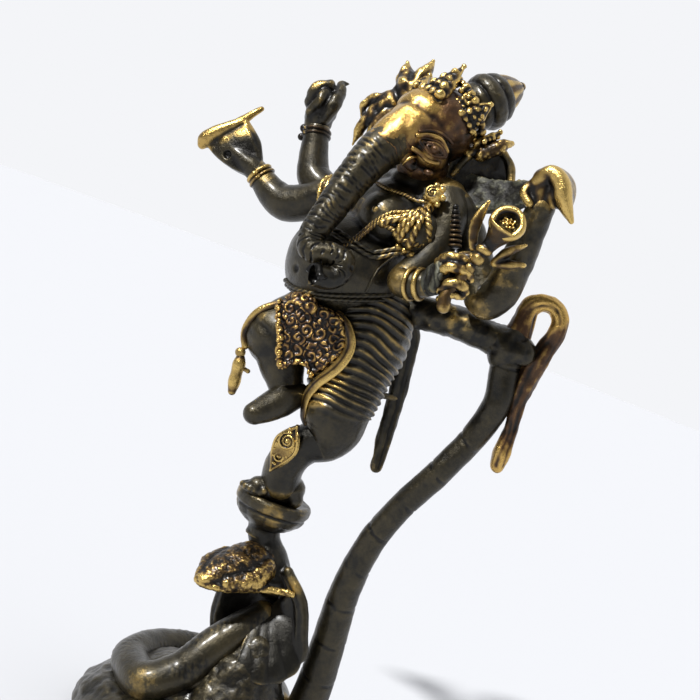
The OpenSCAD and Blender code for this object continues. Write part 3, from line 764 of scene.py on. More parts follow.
class DEITY_OT_belts(bpy.types.Operator):
    """Adds the belts, the loincloth's ornament, the sashes, the cloth end and the scarf"""
    bl_idname = "deity.belts"
    bl_label = "Belts and cloth"

    def execute(self, context):
        self.waist_belt()
        self.loincloth()
        self.left_sash()
        self.right_sash()
        self.cloth_end()
        self.scarf()
        return {"FINISHED"}

    def waist_belt(self):
        """Two twisted cords round the hips."""
        torso = SKINS["torso"]
        waist = [(-13, -19, 153), (-1, -26, 150.5), (11.8, -21.5, 155.5), (19, -11.5, 160), (18, 2.5, 163),
                 (9, 12, 161), (-5, 13, 157), (-18, 4, 154), (-20, -9, 152), (-13, -19, 153)]
        both = [cord([(x, y, z + rise, 0.75) for x, y, z in waist], torso, 0.3, 10, 6, 60)
                for rise in (0, 1.9)]
        finish("waist_belt", gather(both), ["waist_belt"], "dark_bronze", wear_and_highlight_spots=[((0, -25, 151), 8, 0.3)],
               uneven=0.05)

    def loincloth(self):
        """The front ornament: a pad of close curls with beads down its edge."""
        rows = [[(-5, -27.4, 149.6), (1, -25, 151.4), (7, -21.8, 152.4), (13, -20, 151)],
                [(-2.6, -28, 144.6), (2, -26, 146), (8, -20.8, 147.6), (16, -17.8, 146)],
                [(0, -27.4, 139.4), (4, -25, 141), (9, -20.6, 143), (16, -18, 141)],
                [(1.4, -26.4, 135), (5, -23.8, 137), (9, -20.4, 138.4), (13.4, -19, 136)],
                [(2.9, -25.4, 130.8), (4.4, -24.4, 133.4), (8, -21, 134.8), (10.6, -20, 132)]]
        hem = [(*row[0], 0.8) for row in rows] + [(*point, 0.8) for point in rows[-1][1:]]
        bare = patch(rows, 2.4)
        skin = skin_of(bare)
        pad = fuse([bare, ball((0, -23, 151), (6, 3.4, 3.4)), tube(lay(hem, skin, 0.5), 12, 2)], 0.3, 2)

        def curls(p):
            far, hearts = noise.voronoi((p + Vector((0.6, 0, 0.8)) * blotch(p, 3)) / 3.3)
            off = p / 3.3 - hearts[0]
            turn = math.atan2(off.z, 0.82 * off.x + 0.57 * off.y)
            wire = abs(math.sin(far[0] * 6.6 + 0.5 * turn + 0.6 * hearts[0].x))
            return 0.65 * wire * fade(far[1] - far[0], 0, 0.1) + 0.6 * blotch(p, 3.4) - 0.3
        emboss(pad, curls)
        skin = skin_of(pad)
        work = [pad]
        for share in [(k + 0.5) / 11 for k in range(11)]:
            edge = Vector((-5, -28, 150)).lerp(Vector((3, -26.4, 131)), share)
            spot, normal, _, _ = skin.find_nearest(edge + Vector((0.7, -1, 0)))
            work.append(ball(spot + normal * 0.1, (0.6, 0.6, 0.8), fineness=2))
        finish("loincloth_ornament", gather(work), ["loincloth"], "copper_bronze", uneven=0.05, dim=0.03)

    def left_sash(self):
        """The flat sash over the standing thigh, which ends in a scrolled leaf."""
        thigh = SKINS["thigh"]
        path = [(7, -24, 152, 1.1), (10, -22, 152.4, 1.5), (14.6, -20, 150.6, 1.9), (18.6, -18.4, 146, 2.1),
                (18.8, -18.6, 140.4, 2.2), (15.6, -19.6, 134.4, 2.1), (10.6, -21, 128.6, 2),
                (8.4, -19.4, 122.8, 1.8), (8.2, -17.6, 117.4, 1.3), (8.6, -16.6, 113.6, 0.9)]
        line = lay(path, thigh, 0.45, 5)
        line = [(*(0.5 * (np.array(a[:3]) + np.array(c[:3])) * 0.5 + 0.5 * np.array(b[:3])), b[3])
                for a, b, c in zip([line[0], *line], line, [*line[1:], line[-1]])]
        sash = [tube(line, 24, 3, lambda t, a: -0.3 * fade(math.cos(3 * a), 0.8, 1), 0.42, (0.2, -1, 0)),
                *self.leaf(Vector((10.6, -16.9, 115.1)), Vector((5.6, -15.3, 98.4)),
                           Vector((0.35, -0.93, 0)), 4.4)]
        finish("sash_with_leaf", gather(sash), ["sash_left"], "rubbed_brass",
               wear_and_highlight_spots=[((15, -20, 138), 14, 0.5), ((10, -20, 126), 9, 0.3), ((7, -16, 106), 10, -0.12)],
               uneven=0.05)

    def right_sash(self):
        """The edging on the raised leg, and the tassel that hangs from it."""
        raised = SKINS["raised"]
        edge = lay([(-3, -22, 150.6, 1.1), (-8, -25, 149, 1.2), (-13, -26, 143, 1.3), (-16, -26, 136.4, 1.3),
                    (-14.6, -26, 130.8, 1.2)], raised, 0.5, 5)
        tassel = [tube(edge, 16, 1), ball((-14, -25.6, 129.4), 1.7, fineness=3),
                  tube([(-13.6, -25.4, 129, 1), (-13.2, -25.2, 126, 2.1), (-13, -25, 123, 1.9),
                        (-12.8, -24.8, 120, 2), (-12.5, -24.6, 117, 1.3)],
                       16, 5),
                  tube([(-12.5, -24, 125, 0.7), (-10.8, -22.8, 124.6, 0.8)], 10)]
        finish("sash_with_tassel", gather(tassel), ["sash_right"], "rubbed_brass", uneven=0.1,
               wear_and_highlight_spots=[((-14, -26, 138), 12, 0.3), ((-12.6, -25, 122), 8, 0.25)])

    def cloth_end(self):
        """The ragged end of cloth behind the standing thigh."""
        def ragged(t, a):
            turn = Vector((2 * math.cos(a), 2 * math.sin(a), 14 * t))
            return 0.5 * blotch(turn, 1) - 0.5 * fade(math.cos(2 * a + 0.6), 0.75, 1)
        tail = tube([(15.5, 10, 157, 3.4), (16.8, 13, 151, 4.2), (18, 15, 143, 3.4), (19, 16.5, 131, 2.9),
                     (20, 17, 119, 2.7), (21, 17.5, 108, 1.9)],
                    28, 10, ragged, 0.5, (0.7, -0.7, 0))
        bridge = tube([(16, 8, 131, 1), (19, 16, 131.5, 1.1)], 10)
        finish("cloth_end", gather([tail, bridge]), ["cloth_end"], "dark_bronze",
               wear_and_highlight_spots=[((21, 15, 112), 9, 0.35)])

    def scarf(self):
        """The scarf's arm between hip and tail, its curl and hanging end, and the knot where they meet."""
        arm = tube([(13, 4, 158, 5.6), (21, 6, 160.5, 5.4), (31, 9.6, 162, 5.3), (40, 14, 161.8, 4.9),
                    (48, 18.6, 161.5, 5.2)],
                   32, 12)
        emboss(arm, lambda p: 0.5 * blotch(p, 3.5) + 0.3 * granules(p, 2))
        finish("scarf_arm", arm, ["scarf_arm"], "dark_bronze", wear_and_highlight_spots=[((36, 7, 163), 7, 0.4)])

        def cloth(t, a):
            return 0.45 * blotch(wrapped(t, a, 12, 2), 1) - 0.12 * fade(math.cos(2 * a), 0.8, 1)
        curl = tube([(50, 19.4, 163, 4.6), (50.2, 19.4, 170, 3.7), (50.8, 19.6, 174.6, 3.1),
                     (53.4, 21, 177.4, 2.7), (57.2, 22.4, 177.4, 2.6), (60, 23.4, 174.2, 2.7),
                     (60.2, 23.6, 169.4, 2.8), (58.8, 23.4, 164, 3.2), (57.6, 23, 158.4, 3.6),
                     (57, 22.6, 151, 3.2), (57.4, 23, 143, 2.5), (58, 23.4, 137, 2.2),
                     (58, 23.6, 130.4, 2.8), (58.2, 23.8, 125, 2.3)],
                    36, 12, cloth, 0.8, (0.6, -0.8, 0))
        finish("scarf_curl", curl, ["scarf_curl"], "copper_bronze",
               wear_and_highlight_spots=[((57, 20, 177), 10, 0.75), ((58, 21, 128), 9, 0.45)], uneven=0.3)
        block = fuse([tube([(46, 17.6, 161.6, 5.4), (50, 18.6, 160.6, 6), (53.6, 19.6, 161, 4.6)], 24),
                      tube([(49, 18.4, 158, 5.4), (49.4, 18.8, 163, 5)], 24)], 0.5, 2)
        emboss(block, lambda p: 0.5 * blotch(p, 3))
        finish("scarf_knot", block, [], "dark_bronze")

    def leaf(self, root, tip, normal, half):
        """A pointed leaf with a scroll and a raised edge, in the plane of normal."""
        along = tip - root
        side = normal.cross(along).normalized()
        mid = root + along * 0.42
        plate = tube([(*root, 0.8), (*(root + along * 0.2), half * 0.7), (*mid, half),
                      (*(root + along * 0.72), half * 0.7), (*tip, 0.4)],
                     28, 6, None, 0.38, normal)
        lift = normal * 1.5
        edges = [tube([(*(root + lift * 0.5), 0.4), (*(mid + side * sign * half * 0.82 + lift * 0.5), 0.55),
                       (*(tip + lift * 0.2), 0.35)], 10, 8) for sign in (-1, 1)]
        curls = scroll(root + along * 0.32 + lift * 0.9, normal, half * 0.66, 2, 0.6)
        curls += scroll(root + along * 0.66 + lift * 0.75, normal, half * 0.42, 1.5, 0.5, -1)
        for k in range(7):
            for sign in (-1, 1):
                spot = root + along * (0.1 + 0.12 * k) + side * sign * half * (0.62 - 0.045 * (k - 2.5) ** 2)
                curls.append(ball(spot + lift * 0.75, 0.5, fineness=2))
        return [plate, *edges, *curls]


class DEITY_OT_necklaces(bpy.types.Operator):
    """Adds the brooch, the bead strands, the chest band and the web at the shoulder"""
    bl_idname = "deity.necklaces"
    bl_label = "Necklaces"

    def execute(self, context):
        self.necklace()
        self.chest_band()
        self.shoulder_web()
        return {"FINISHED"}

    def necklace(self):
        """The brooch on the left shoulder, with strands and a twisted pendant that fall from it."""
        torso = SKINS["chest"]
        start = (22.6, -11, 195.6)
        parts = [ball((22.8, -10.4, 196), (2.8, 2.4, 3), fineness=3)]
        parts += scroll(Vector((23, -12.6, 196.4)), (0.5, -0.8, 0.2), 2, 1.8, 0.6)
        for a in [math.tau * k / 7 for k in range(7)]:
            parts.append(ball((22.8 + 3 * math.cos(a), -10.4, 196 + 3 * math.sin(a)), 1.1, fineness=2))
        for rise in (0, 1.7):
            strand = [(*start, 0.5), (16.7, -18.6, 186.2 + rise, 0.6), (11.3, -22.4, 178.3 + rise, 0.6),
                      (8, -25, 173 + rise, 0.5)]
            parts.append(cord(strand, torso, 0.35, 8, 8, 26))
        for low, middle in (((15, -20, 181.9), (20, -16, 190)), ((17.4, -18.3, 180.4), (20.8, -15, 188)),
                            ((19.7, -16.7, 179.6), (22, -14.6, 187)), ((23.2, -14, 179.4), (23.6, -14, 187)),
                            ((26, -10.6, 183), (25, -13, 190))):
            parts.append(cord([(*start, 0.8), (*middle, 1), (*low, 1.1)], torso, 0.5, 12, 8, 9))
            parts.append(ball(torso.find_nearest(Vector(low))[0], 1.5, fineness=3))
        for low, high in (((15, -20, 182), (20, -16.4, 180)), ((20, -16.4, 180), (26, -11, 181))):
            parts.append(cord([(*high, 0.8), (*Vector(low).lerp(Vector(high), 0.5), 0.8), (*low, 0.8)],
                              torso, 0.3, 10, 6, 8))
        parts.append(cord([(0, -14, 196, 0.5), (6, -15, 194.5, 0.6), (14, -14, 195, 0.6), (*start, 0.6)],
                          torso, 0.4, 8, 6, 24))
        finish("necklace", gather(parts), ["necklace"], "rubbed_brass", wear_and_highlight_spots=[((21, -14, 190), 10, 0.25)],
               uneven=0.05)

    def chest_band(self):
        """Two twisted cords round the chest, with beads and a short hanging thread."""
        torso = SKINS["torso"]
        band = [(1, -23, 174), (8, -22, 173.2), (15, -19, 172.8), (22, -14, 174.5), (27, -7, 177),
                (25, 4, 180), (14, 13, 181), (2, 13, 180), (-10, 6, 179), (-13, -5, 177), (-8, -17, 175),
                (1, -23, 174)]
        cords = [cord([(x, y, z + rise, 0.7) for x, y, z in band], torso, 0.35, 10, 6, 50)
                 for rise in (0, 2)]
        cords += bead_row([(19, -16, 176.4, 1), (23, -12, 177.6, 1), (27, -6, 179, 1)], torso, 1.1, 1.9, 0.6)
        cords.append(cord([(21, -16, 173.5, 0.45), (20, -18, 167, 0.45), (19, -18, 161, 0.4)],
                          torso, 0.25, 8, 6))
        finish("chest_band", gather(cords), ["chest_band"], "dark_bronze", wear_and_highlight_spots=[((21, -15, 175), 9, 0.5)],
               uneven=0.05)

    def shoulder_web(self):
        """The rough, corroded metal between shoulder, ear and raised left hand."""
        rows = [[(13, 4, 200), (22, 5, 197), (32, 5, 197.5), (40, 5, 201), (47, 4, 206)],
                [(13, 4, 203), (22, 6, 202), (32, 6.5, 203), (40, 6, 206), (47, 4, 209)],
                [(12, 4, 207), (22, 7, 207), (31, 8, 208), (39, 7, 210), (46, 5, 211)]]
        web = fuse([patch(rows, 3.4, 6), ball((17, 1, 197.5), (8, 6, 4.5))], 0.5, 2)
        emboss(web, lambda p: 0.6 * blotch(p, 3.4) + 0.3 * granules(p, 1.1) - 0.15)
        finish("shoulder_web", web, ["shoulder_web"], "verdigris_bronze")


class DEITY_OT_arms(bpy.types.Operator):
    """Adds the four arms with their hands, the flower, the armlets and the bracelets"""
    bl_idname = "deity.arms"
    bl_label = "Arms"

    def execute(self, context):
        self.front_left()
        self.flower()
        self.rear_left()
        self.low_right()
        self.high_right()
        self.rings()
        return {"FINISHED"}

    def front_left(self):
        """The front left arm, its dull palm and the brighter fingers round the flower's stem."""
        limb = tube([(20, 0, 196, 7), (25, -2.4, 191, 6), (27, -4.6, 184, 5.2), (26, -7.6, 176, 5),
                     (23.8, -10.6, 170, 4.8), (25.4, -12.8, 168.3, 4.5), (31.6, -12.2, 170.2, 4)],
                    36, 10)
        finish("front_left_arm", limb, ["front_left_arm"], "dark_bronze", wear_and_highlight_spots=[((24, -16, 170), 7, 0.5)])
        palm = fuse([ball((35.4, -11.6, 173.2), (4.9, 4.6, 4.9)), ball((33, -12, 171), (4, 4, 4)),
                     tube([(36, -14.6, 177, 1.6), (37.4, -15.4, 174, 1.7), (37.2, -15.4, 170.4, 1.6)], 14)],
                    0.35, 2)
        emboss(palm, lambda p: -0.3 * fade(math.sin(p.x * 3 + p.z * 1.4 + 3 * blotch(p, 2.4)), 0.5, 1))
        fingers = [tube([(35, -13.6, 178, 1.7), (38, -14, 180.4, 1.9), (41.4, -12.4, 180.8, 1.8),
                         (43, -10.4, 179.4, 1.3)],
                        16),
                   tube([(37, -14.6, 175.6, 1.6), (40, -14.6, 178, 1.8), (43.2, -12, 178.2, 1.7),
                         (44.6, -9.6, 176.6, 1.2)],
                        16),
                   tube([(38, -13.6, 170.6, 1.4), (41, -13.4, 173.6, 1.7), (43.8, -11.4, 174, 1.6),
                         (44.6, -9.4, 172.6, 1.1)],
                        16),
                   tube([(39, -12.6, 168, 1.2), (41.4, -11.6, 170.4, 1.5), (43.8, -9.6, 171, 1.3)], 16),
                   ball((40.6, -9.6, 176), (2.6, 2.4, 4)),
                   tube([(36, -11, 177, 2), (39.6, -9.4, 182, 1.7), (42.6, -9, 182.6, 1.3)], 14)]
        finish("front_left_palm", palm, ["front_left_hand"], "verdigris_bronze")
        fingers = fuse(fingers, 0.3, 1)
        emboss(fingers, lambda p: 0.3 * blotch(p, 1.6))
        finish("front_left_fingers", fingers, [], "rubbed_brass", wear_and_highlight_spots=[((40, -14, 178), 6, 0.2)])

    def rear_left(self):
        """The raised left arm, and the hand with its fingers bent over."""
        upper = tube([(22, 2, 195, 6.4), (28, 4.5, 190, 5.6), (34, 6.5, 183, 5.2), (39, 7, 175.5, 5.6),
                      (42, 6.8, 172, 6), (46, 6.4, 175.5, 5.9), (47.6, 6, 184, 5.4), (49, 5, 194, 4.8),
                      (50, 4, 204, 4.2)],
                     40, 12)
        # The bright spots on the elbow and forearm are painted highlights: bare brass laid where the light
        # catches the arm's lit side.
        finish("rear_left_arm", upper, ["rear_left_upper_arm", "rear_left_forearm"], "dark_bronze",
               wear_and_highlight_spots=[((43, 2, 168), 8, 0.45), ((46, 0, 182), 9, 0.4), ((49, 0, 200), 6, 0.3)], uneven=0.35)
        hand = [tube([(49.6, 4, 203, 4), (48.6, 3, 208, 4), (48.4, 2, 211.5, 3.4)], 20)]
        for k in range(4):
            back = 1.5 * k
            hand.append(tube([(47.8 - 0.3 * k, 0.6 + back, 210, 2.4), (50.7, 0.8 + back, 213.8, 2.6),
                              (54.6 - 0.2 * k, 2 + back, 211.8, 2.9),
                              (57 - 0.5 * k, 2.8 + back * 0.8, 207.4, 2.6),
                              (60.6 - 1.2 * k, 5 + back * 0.4, 202.6 + 0.5 * k, 0.9)],
                             18))
        hand.append(ball((53, 3.4, 208.4), (4, 3, 4.4)))
        hand.append(tube([(46.4, 0.4, 208.6, 1.9), (45.6, -0.8, 206, 1.7), (48.4, -1, 203.4, 1.4)], 16))
        finish("rear_left_hand", fuse(hand, 0.35, 6), ["rear_left_hand"], "rubbed_brass",
               wear_and_highlight_spots=[((55, 3, 210), 10, 0.55)])

    def low_right(self):
        """The lower right arm with its open palm."""
        low = tube([(-3, 2, 191, 6.6), (-12, 1.5, 188, 6), (-22, 1, 185.4, 6), (-31, -0.5, 180, 6.1),
                    (-37.6, -2, 177.4, 6.2), (-43, -3.4, 178.6, 5.4), (-48, -5, 181.6, 4.4),
                    (-51.5, -6.2, 184.2, 3.7)],
                   40, 12)
        finish("low_right_arm", low, ["low_right_upper_arm", "low_right_forearm"], "dark_bronze",
               wear_and_highlight_spots=[((-46, -6, 184), 6, 0.5), ((-22, -3, 190), 7, 0.4)])
        self.open_palm()

    def high_right(self):
        """The upper right arm, and the fist with a hooked tip above it."""
        high = tube([(-5, 6, 190, 5.6), (-16, 6, 188, 5.8), (-28, 6, 186, 5.8), (-36, 5.6, 188.4, 5.8),
                     (-39.4, 5.6, 194, 5.2), (-41.6, 6, 200, 4.5), (-43, 6.4, 204, 4.3)],
                    36, 12)
        finish("high_right_arm", high, ["high_right_upper_arm", "high_right_forearm"], "dark_bronze")
        fist = [ball((-44.2, 6.4, 211.6), (5.4, 4.6, 6.8), (0, -12, 0)),
                tube([(-44, 6.6, 205, 4.4), (-44.4, 6.6, 210, 5.4)], 24),
                tube([(-47.6, 4, 212, 2.6), (-47, 3.6, 216.6, 2.6), (-44, 5.4, 219.4, 2.2)], 16),
                tube([(-41, 5, 208.4, 2.4), (-39.6, 5.6, 213.6, 2.6), (-41, 8.4, 218.4, 2.2),
                      (-43, 10, 221.4, 1.4), (-41.6, 11.6, 222.4, 0.7)],
                     16),
                tube([(-45.6, 2.6, 208.4, 1.8), (-43, 2, 212.6, 1.9), (-43, 3.4, 216.4, 1.7)], 16)]
        bm = fuse(fist, 0.38, 2)
        emboss(bm, lambda p: 0.35 * blotch(p, 2.6))
        finish("high_right_hand", bm, ["high_right_hand"], "dark_bronze", wear_and_highlight_spots=[((-46.6, 2, 219), 3.5, 0.7),
                                                                              ((-44, 4, 205), 5, 0.25)])

    def flower(self):
        """The bud on its beaded stem, with an open ringed mouth, a tall petal and a side leaf."""
        stem = [tube([(41, -12.4, 166.4, 2.2), (40.4, -12.4, 169.6, 1.9), (41.6, -11.6, 174, 1.7),
                      (44, -11.4, 179.6, 1.7)],
                     18),
                ball((45.4, -11.4, 182.8), 2, fineness=3),
                ball((46, -10.8, 186), (2.6, 2.4, 1.9), fineness=3),
                tube([(46.2, -10.6, 186.4, 2), (47.2, -10.3, 189, 2.6), (48.6, -10.6, 192, 4),
                      (49.6, -10.9, 194.6, 5)],
                     28, 5, None, 1, (0, 0, 1), 1, 0),
                tube([(42.6, -12, 185.6, 1.2), (41.6, -13, 190.6, 1.7), (41.6, -12.8, 195, 1.5),
                      (42.4, -12.2, 199.4, 0.6)],
                     16, 6, None, 0.5, (0.6, -0.8, 0)),
                tube([(48.4, -6.6, 184, 1.8), (50.6, -5.4, 188, 2.2), (53.4, -2.6, 191.4, 0.8)], 14, 5,
                     None, 0.7),
                tube([(48.6, -6.4, 183.4, 1.8), (51.6, -4, 184.6, 2.2), (54.4, -1.6, 185.8, 1.3)], 14, 5,
                     None, 0.7)]
        heart = Vector((50.2, -11.2, 195.4))
        turn = Vector((0.42, -0.86, 0.3)).normalized().to_track_quat("Z", "Y").to_matrix().to_4x4()
        place = Matrix.Translation(heart) @ turn
        mouth = lathe([(2.9, 0), (3.4, 0.9), (4.4, 1.3), (5.2, 0.8), (5.5, -0.2), (5.1, -1.4), (4.2, -2.4),
                       (0, -3.2), (0, -1.6), (2.6, -1.4), (2.9, 0)],
                      48)
        mouth.transform(place)
        seeds = []
        for k in range(FLOWER_SEEDS):
            r = 2.5 * math.sqrt(k / FLOWER_SEEDS)
            a = 2.4 * k
            seed = ball((r * math.cos(a), r * math.sin(a), -1.2), 0.55, fineness=2)
            seed.transform(place)
            seeds.append(seed)
        finish("flower", gather([fuse(stem, 0.3, 1), mouth, *seeds]), ["flower"], "rubbed_brass",
               wear_and_highlight_spots=[((50.2, -11.5, 195.4), 9, 0.25)], uneven=0.2)

    def open_palm(self):
        """The lower right hand: a fan-shaped palm with fingers folded over at its far edge."""
        rows = [[(-52.6, -7.8, 181.4), (-51, -6.4, 183.6), (-49.6, -5, 186)],
                [(-58.4, -10, 181.4), (-57.4, -9, 186.6), (-54.8, -6.8, 191.6)],
                [(-65.4, -12, 183.2), (-63, -10.8, 189.2), (-58.6, -8, 195.4)],
                [(-70.6, -13.6, 186), (-67.2, -11.6, 191.8), (-62.2, -8.6, 197.4)]]
        front = Vector((1.3, -1.9, 0.2))
        raised = [[tuple(Vector(p) + front * (1 if 0 < i < 3 else 0.5)) for p in row]
                  for i, row in enumerate(rows)]
        parts = [patch(rows, 4.4, 5), patch(raised, 3, 5),
                 tube([(-49.4, -5.6, 182.6, 3.7), (-53, -7, 184.6, 3.9), (-57.4, -9, 186.2, 3.2),
                       (-61.4, -10.4, 188, 2.5), (-65, -11.4, 190, 1.8)],
                      24),
                 tube([(-71, -14.4, 185.6, 1.8), (-70.6, -14, 187.4, 2.8), (-67.4, -12.6, 191.8, 2.4),
                       (-62.2, -9, 197.6, 1.7)],
                      20),
                 tube([(-53, -6.4, 187.6, 2.4), (-56, -6.6, 192.6, 2), (-61.6, -8.4, 197.4, 1.8)], 16)]
        palm = fuse(parts, 0.38, 8)
        slit = Vector((-60.4, -12.4, 185.4))
        emboss(palm, lambda p: -1.1 * fade(1.7 - (p - slit).length, 0, 0.8))
        finger = tube([(-63, -9.4, 196.8, 1.9), (-61.8, -6.6, 200.8, 1.3), (-60.3, -4.4, 204, 0.9)], 14)
        finish("low_right_hand", gather([palm, finger]), ["low_right_hand"], "dark_bronze",
               wear_and_highlight_spots=[((-70, -14, 188), 5.4, 1.1), ((-66, -13, 193), 7, 1.1), ((-61, -11, 197), 7, 1.1),
                     ((-61, -5, 203), 4, 0.8)])

    def rings(self):
        """Armlets of bead rings on the upper arms, and banded bracelets at the wrists."""
        def ring(centre, axis, radius, wire, knobs=0):
            turn = Vector(axis).to_track_quat("Z", "Y").to_matrix().to_4x4()
            loop = [(radius * math.cos(a), radius * math.sin(a), 0, wire)
                    for a in [math.tau * k / 16 for k in range(17)]]
            parts = [tube(loop, 10, 2, None, 1, (0, 0, 1), 0, 0)]
            parts += [ball((radius * math.cos(a), radius * math.sin(a), 0), wire * 1.25, fineness=2)
                      for a in [math.tau * k / knobs for k in range(knobs)]]
            for part in parts:
                part.transform(Matrix.Translation(centre) @ turn)
            return parts

        armlets = []
        for k, (x, z) in enumerate(((-17, 186.9), (-19.2, 186.2), (-21.4, 185.5), (-23.6, 184.6))):
            armlets += ring((x, 1.1, z), (1, 0.05, 0.3), 6.2, 0.9, 18 if k % 2 else 0)
        armlets += [ball((-19, -4.6, 189), (2.6, 1.8, 2.8), fineness=3),
                    ball((-22.6, -4.4, 187.4), 1.6, fineness=3)]
        # The coiled tassel that hangs at the left armlet: rings that narrow to its top
        for share in [k / 8 for k in range(9)]:
            centre = Vector((32.6, -5.4, 184)).lerp(Vector((28.6, -6.4, 195)), share)
            radius = 2.2 - 1.2 * share ** 2
            armlets.append(ball(centre, (radius, radius, 0.9), (0, -20, 0), 3))
        finish("armlets", gather(armlets), ["armlets"], "rubbed_brass", wear_and_highlight_spots=[((-20, -5, 189), 8, 0.4)],
               uneven=0.05)
        wrists = [((-50, -5.7, 183.2), (-5, -2, 3.4), 4.1, 0.8),
                  ((-48.6, -5.2, 182.2), (-5, -2, 3.4), 4.5, 0.55),
                  ((-42.8, 6.3, 203.4), (-1.4, 0.6, 4), 4.4, 0.6),
                  ((-42.4, 6.2, 201.8), (-1.6, 0.6, 4), 4.6, 0.5),
                  ((30.6, -12.4, 169.8), (5, 0.5, 1.2), 4.3, 0.9),
                  ((28, -12.8, 169), (5, 0.2, 0.8), 4.6, 0.8)]
        parts = [part for centre, axis, radius, wire in wrists for part in ring(centre, axis, radius, wire)]
        parts += [ball((-47, 4.4, 203), 1.5, fineness=3), ball((-47.4, 5, 200), 1.3, fineness=3)]
        finish("bracelets", gather(parts), ["bracelets"], "rubbed_brass",
               wear_and_highlight_spots=[((-42.6, 6.3, 202.6), 12, -0.5)], uneven=0.05, dim=0.3)


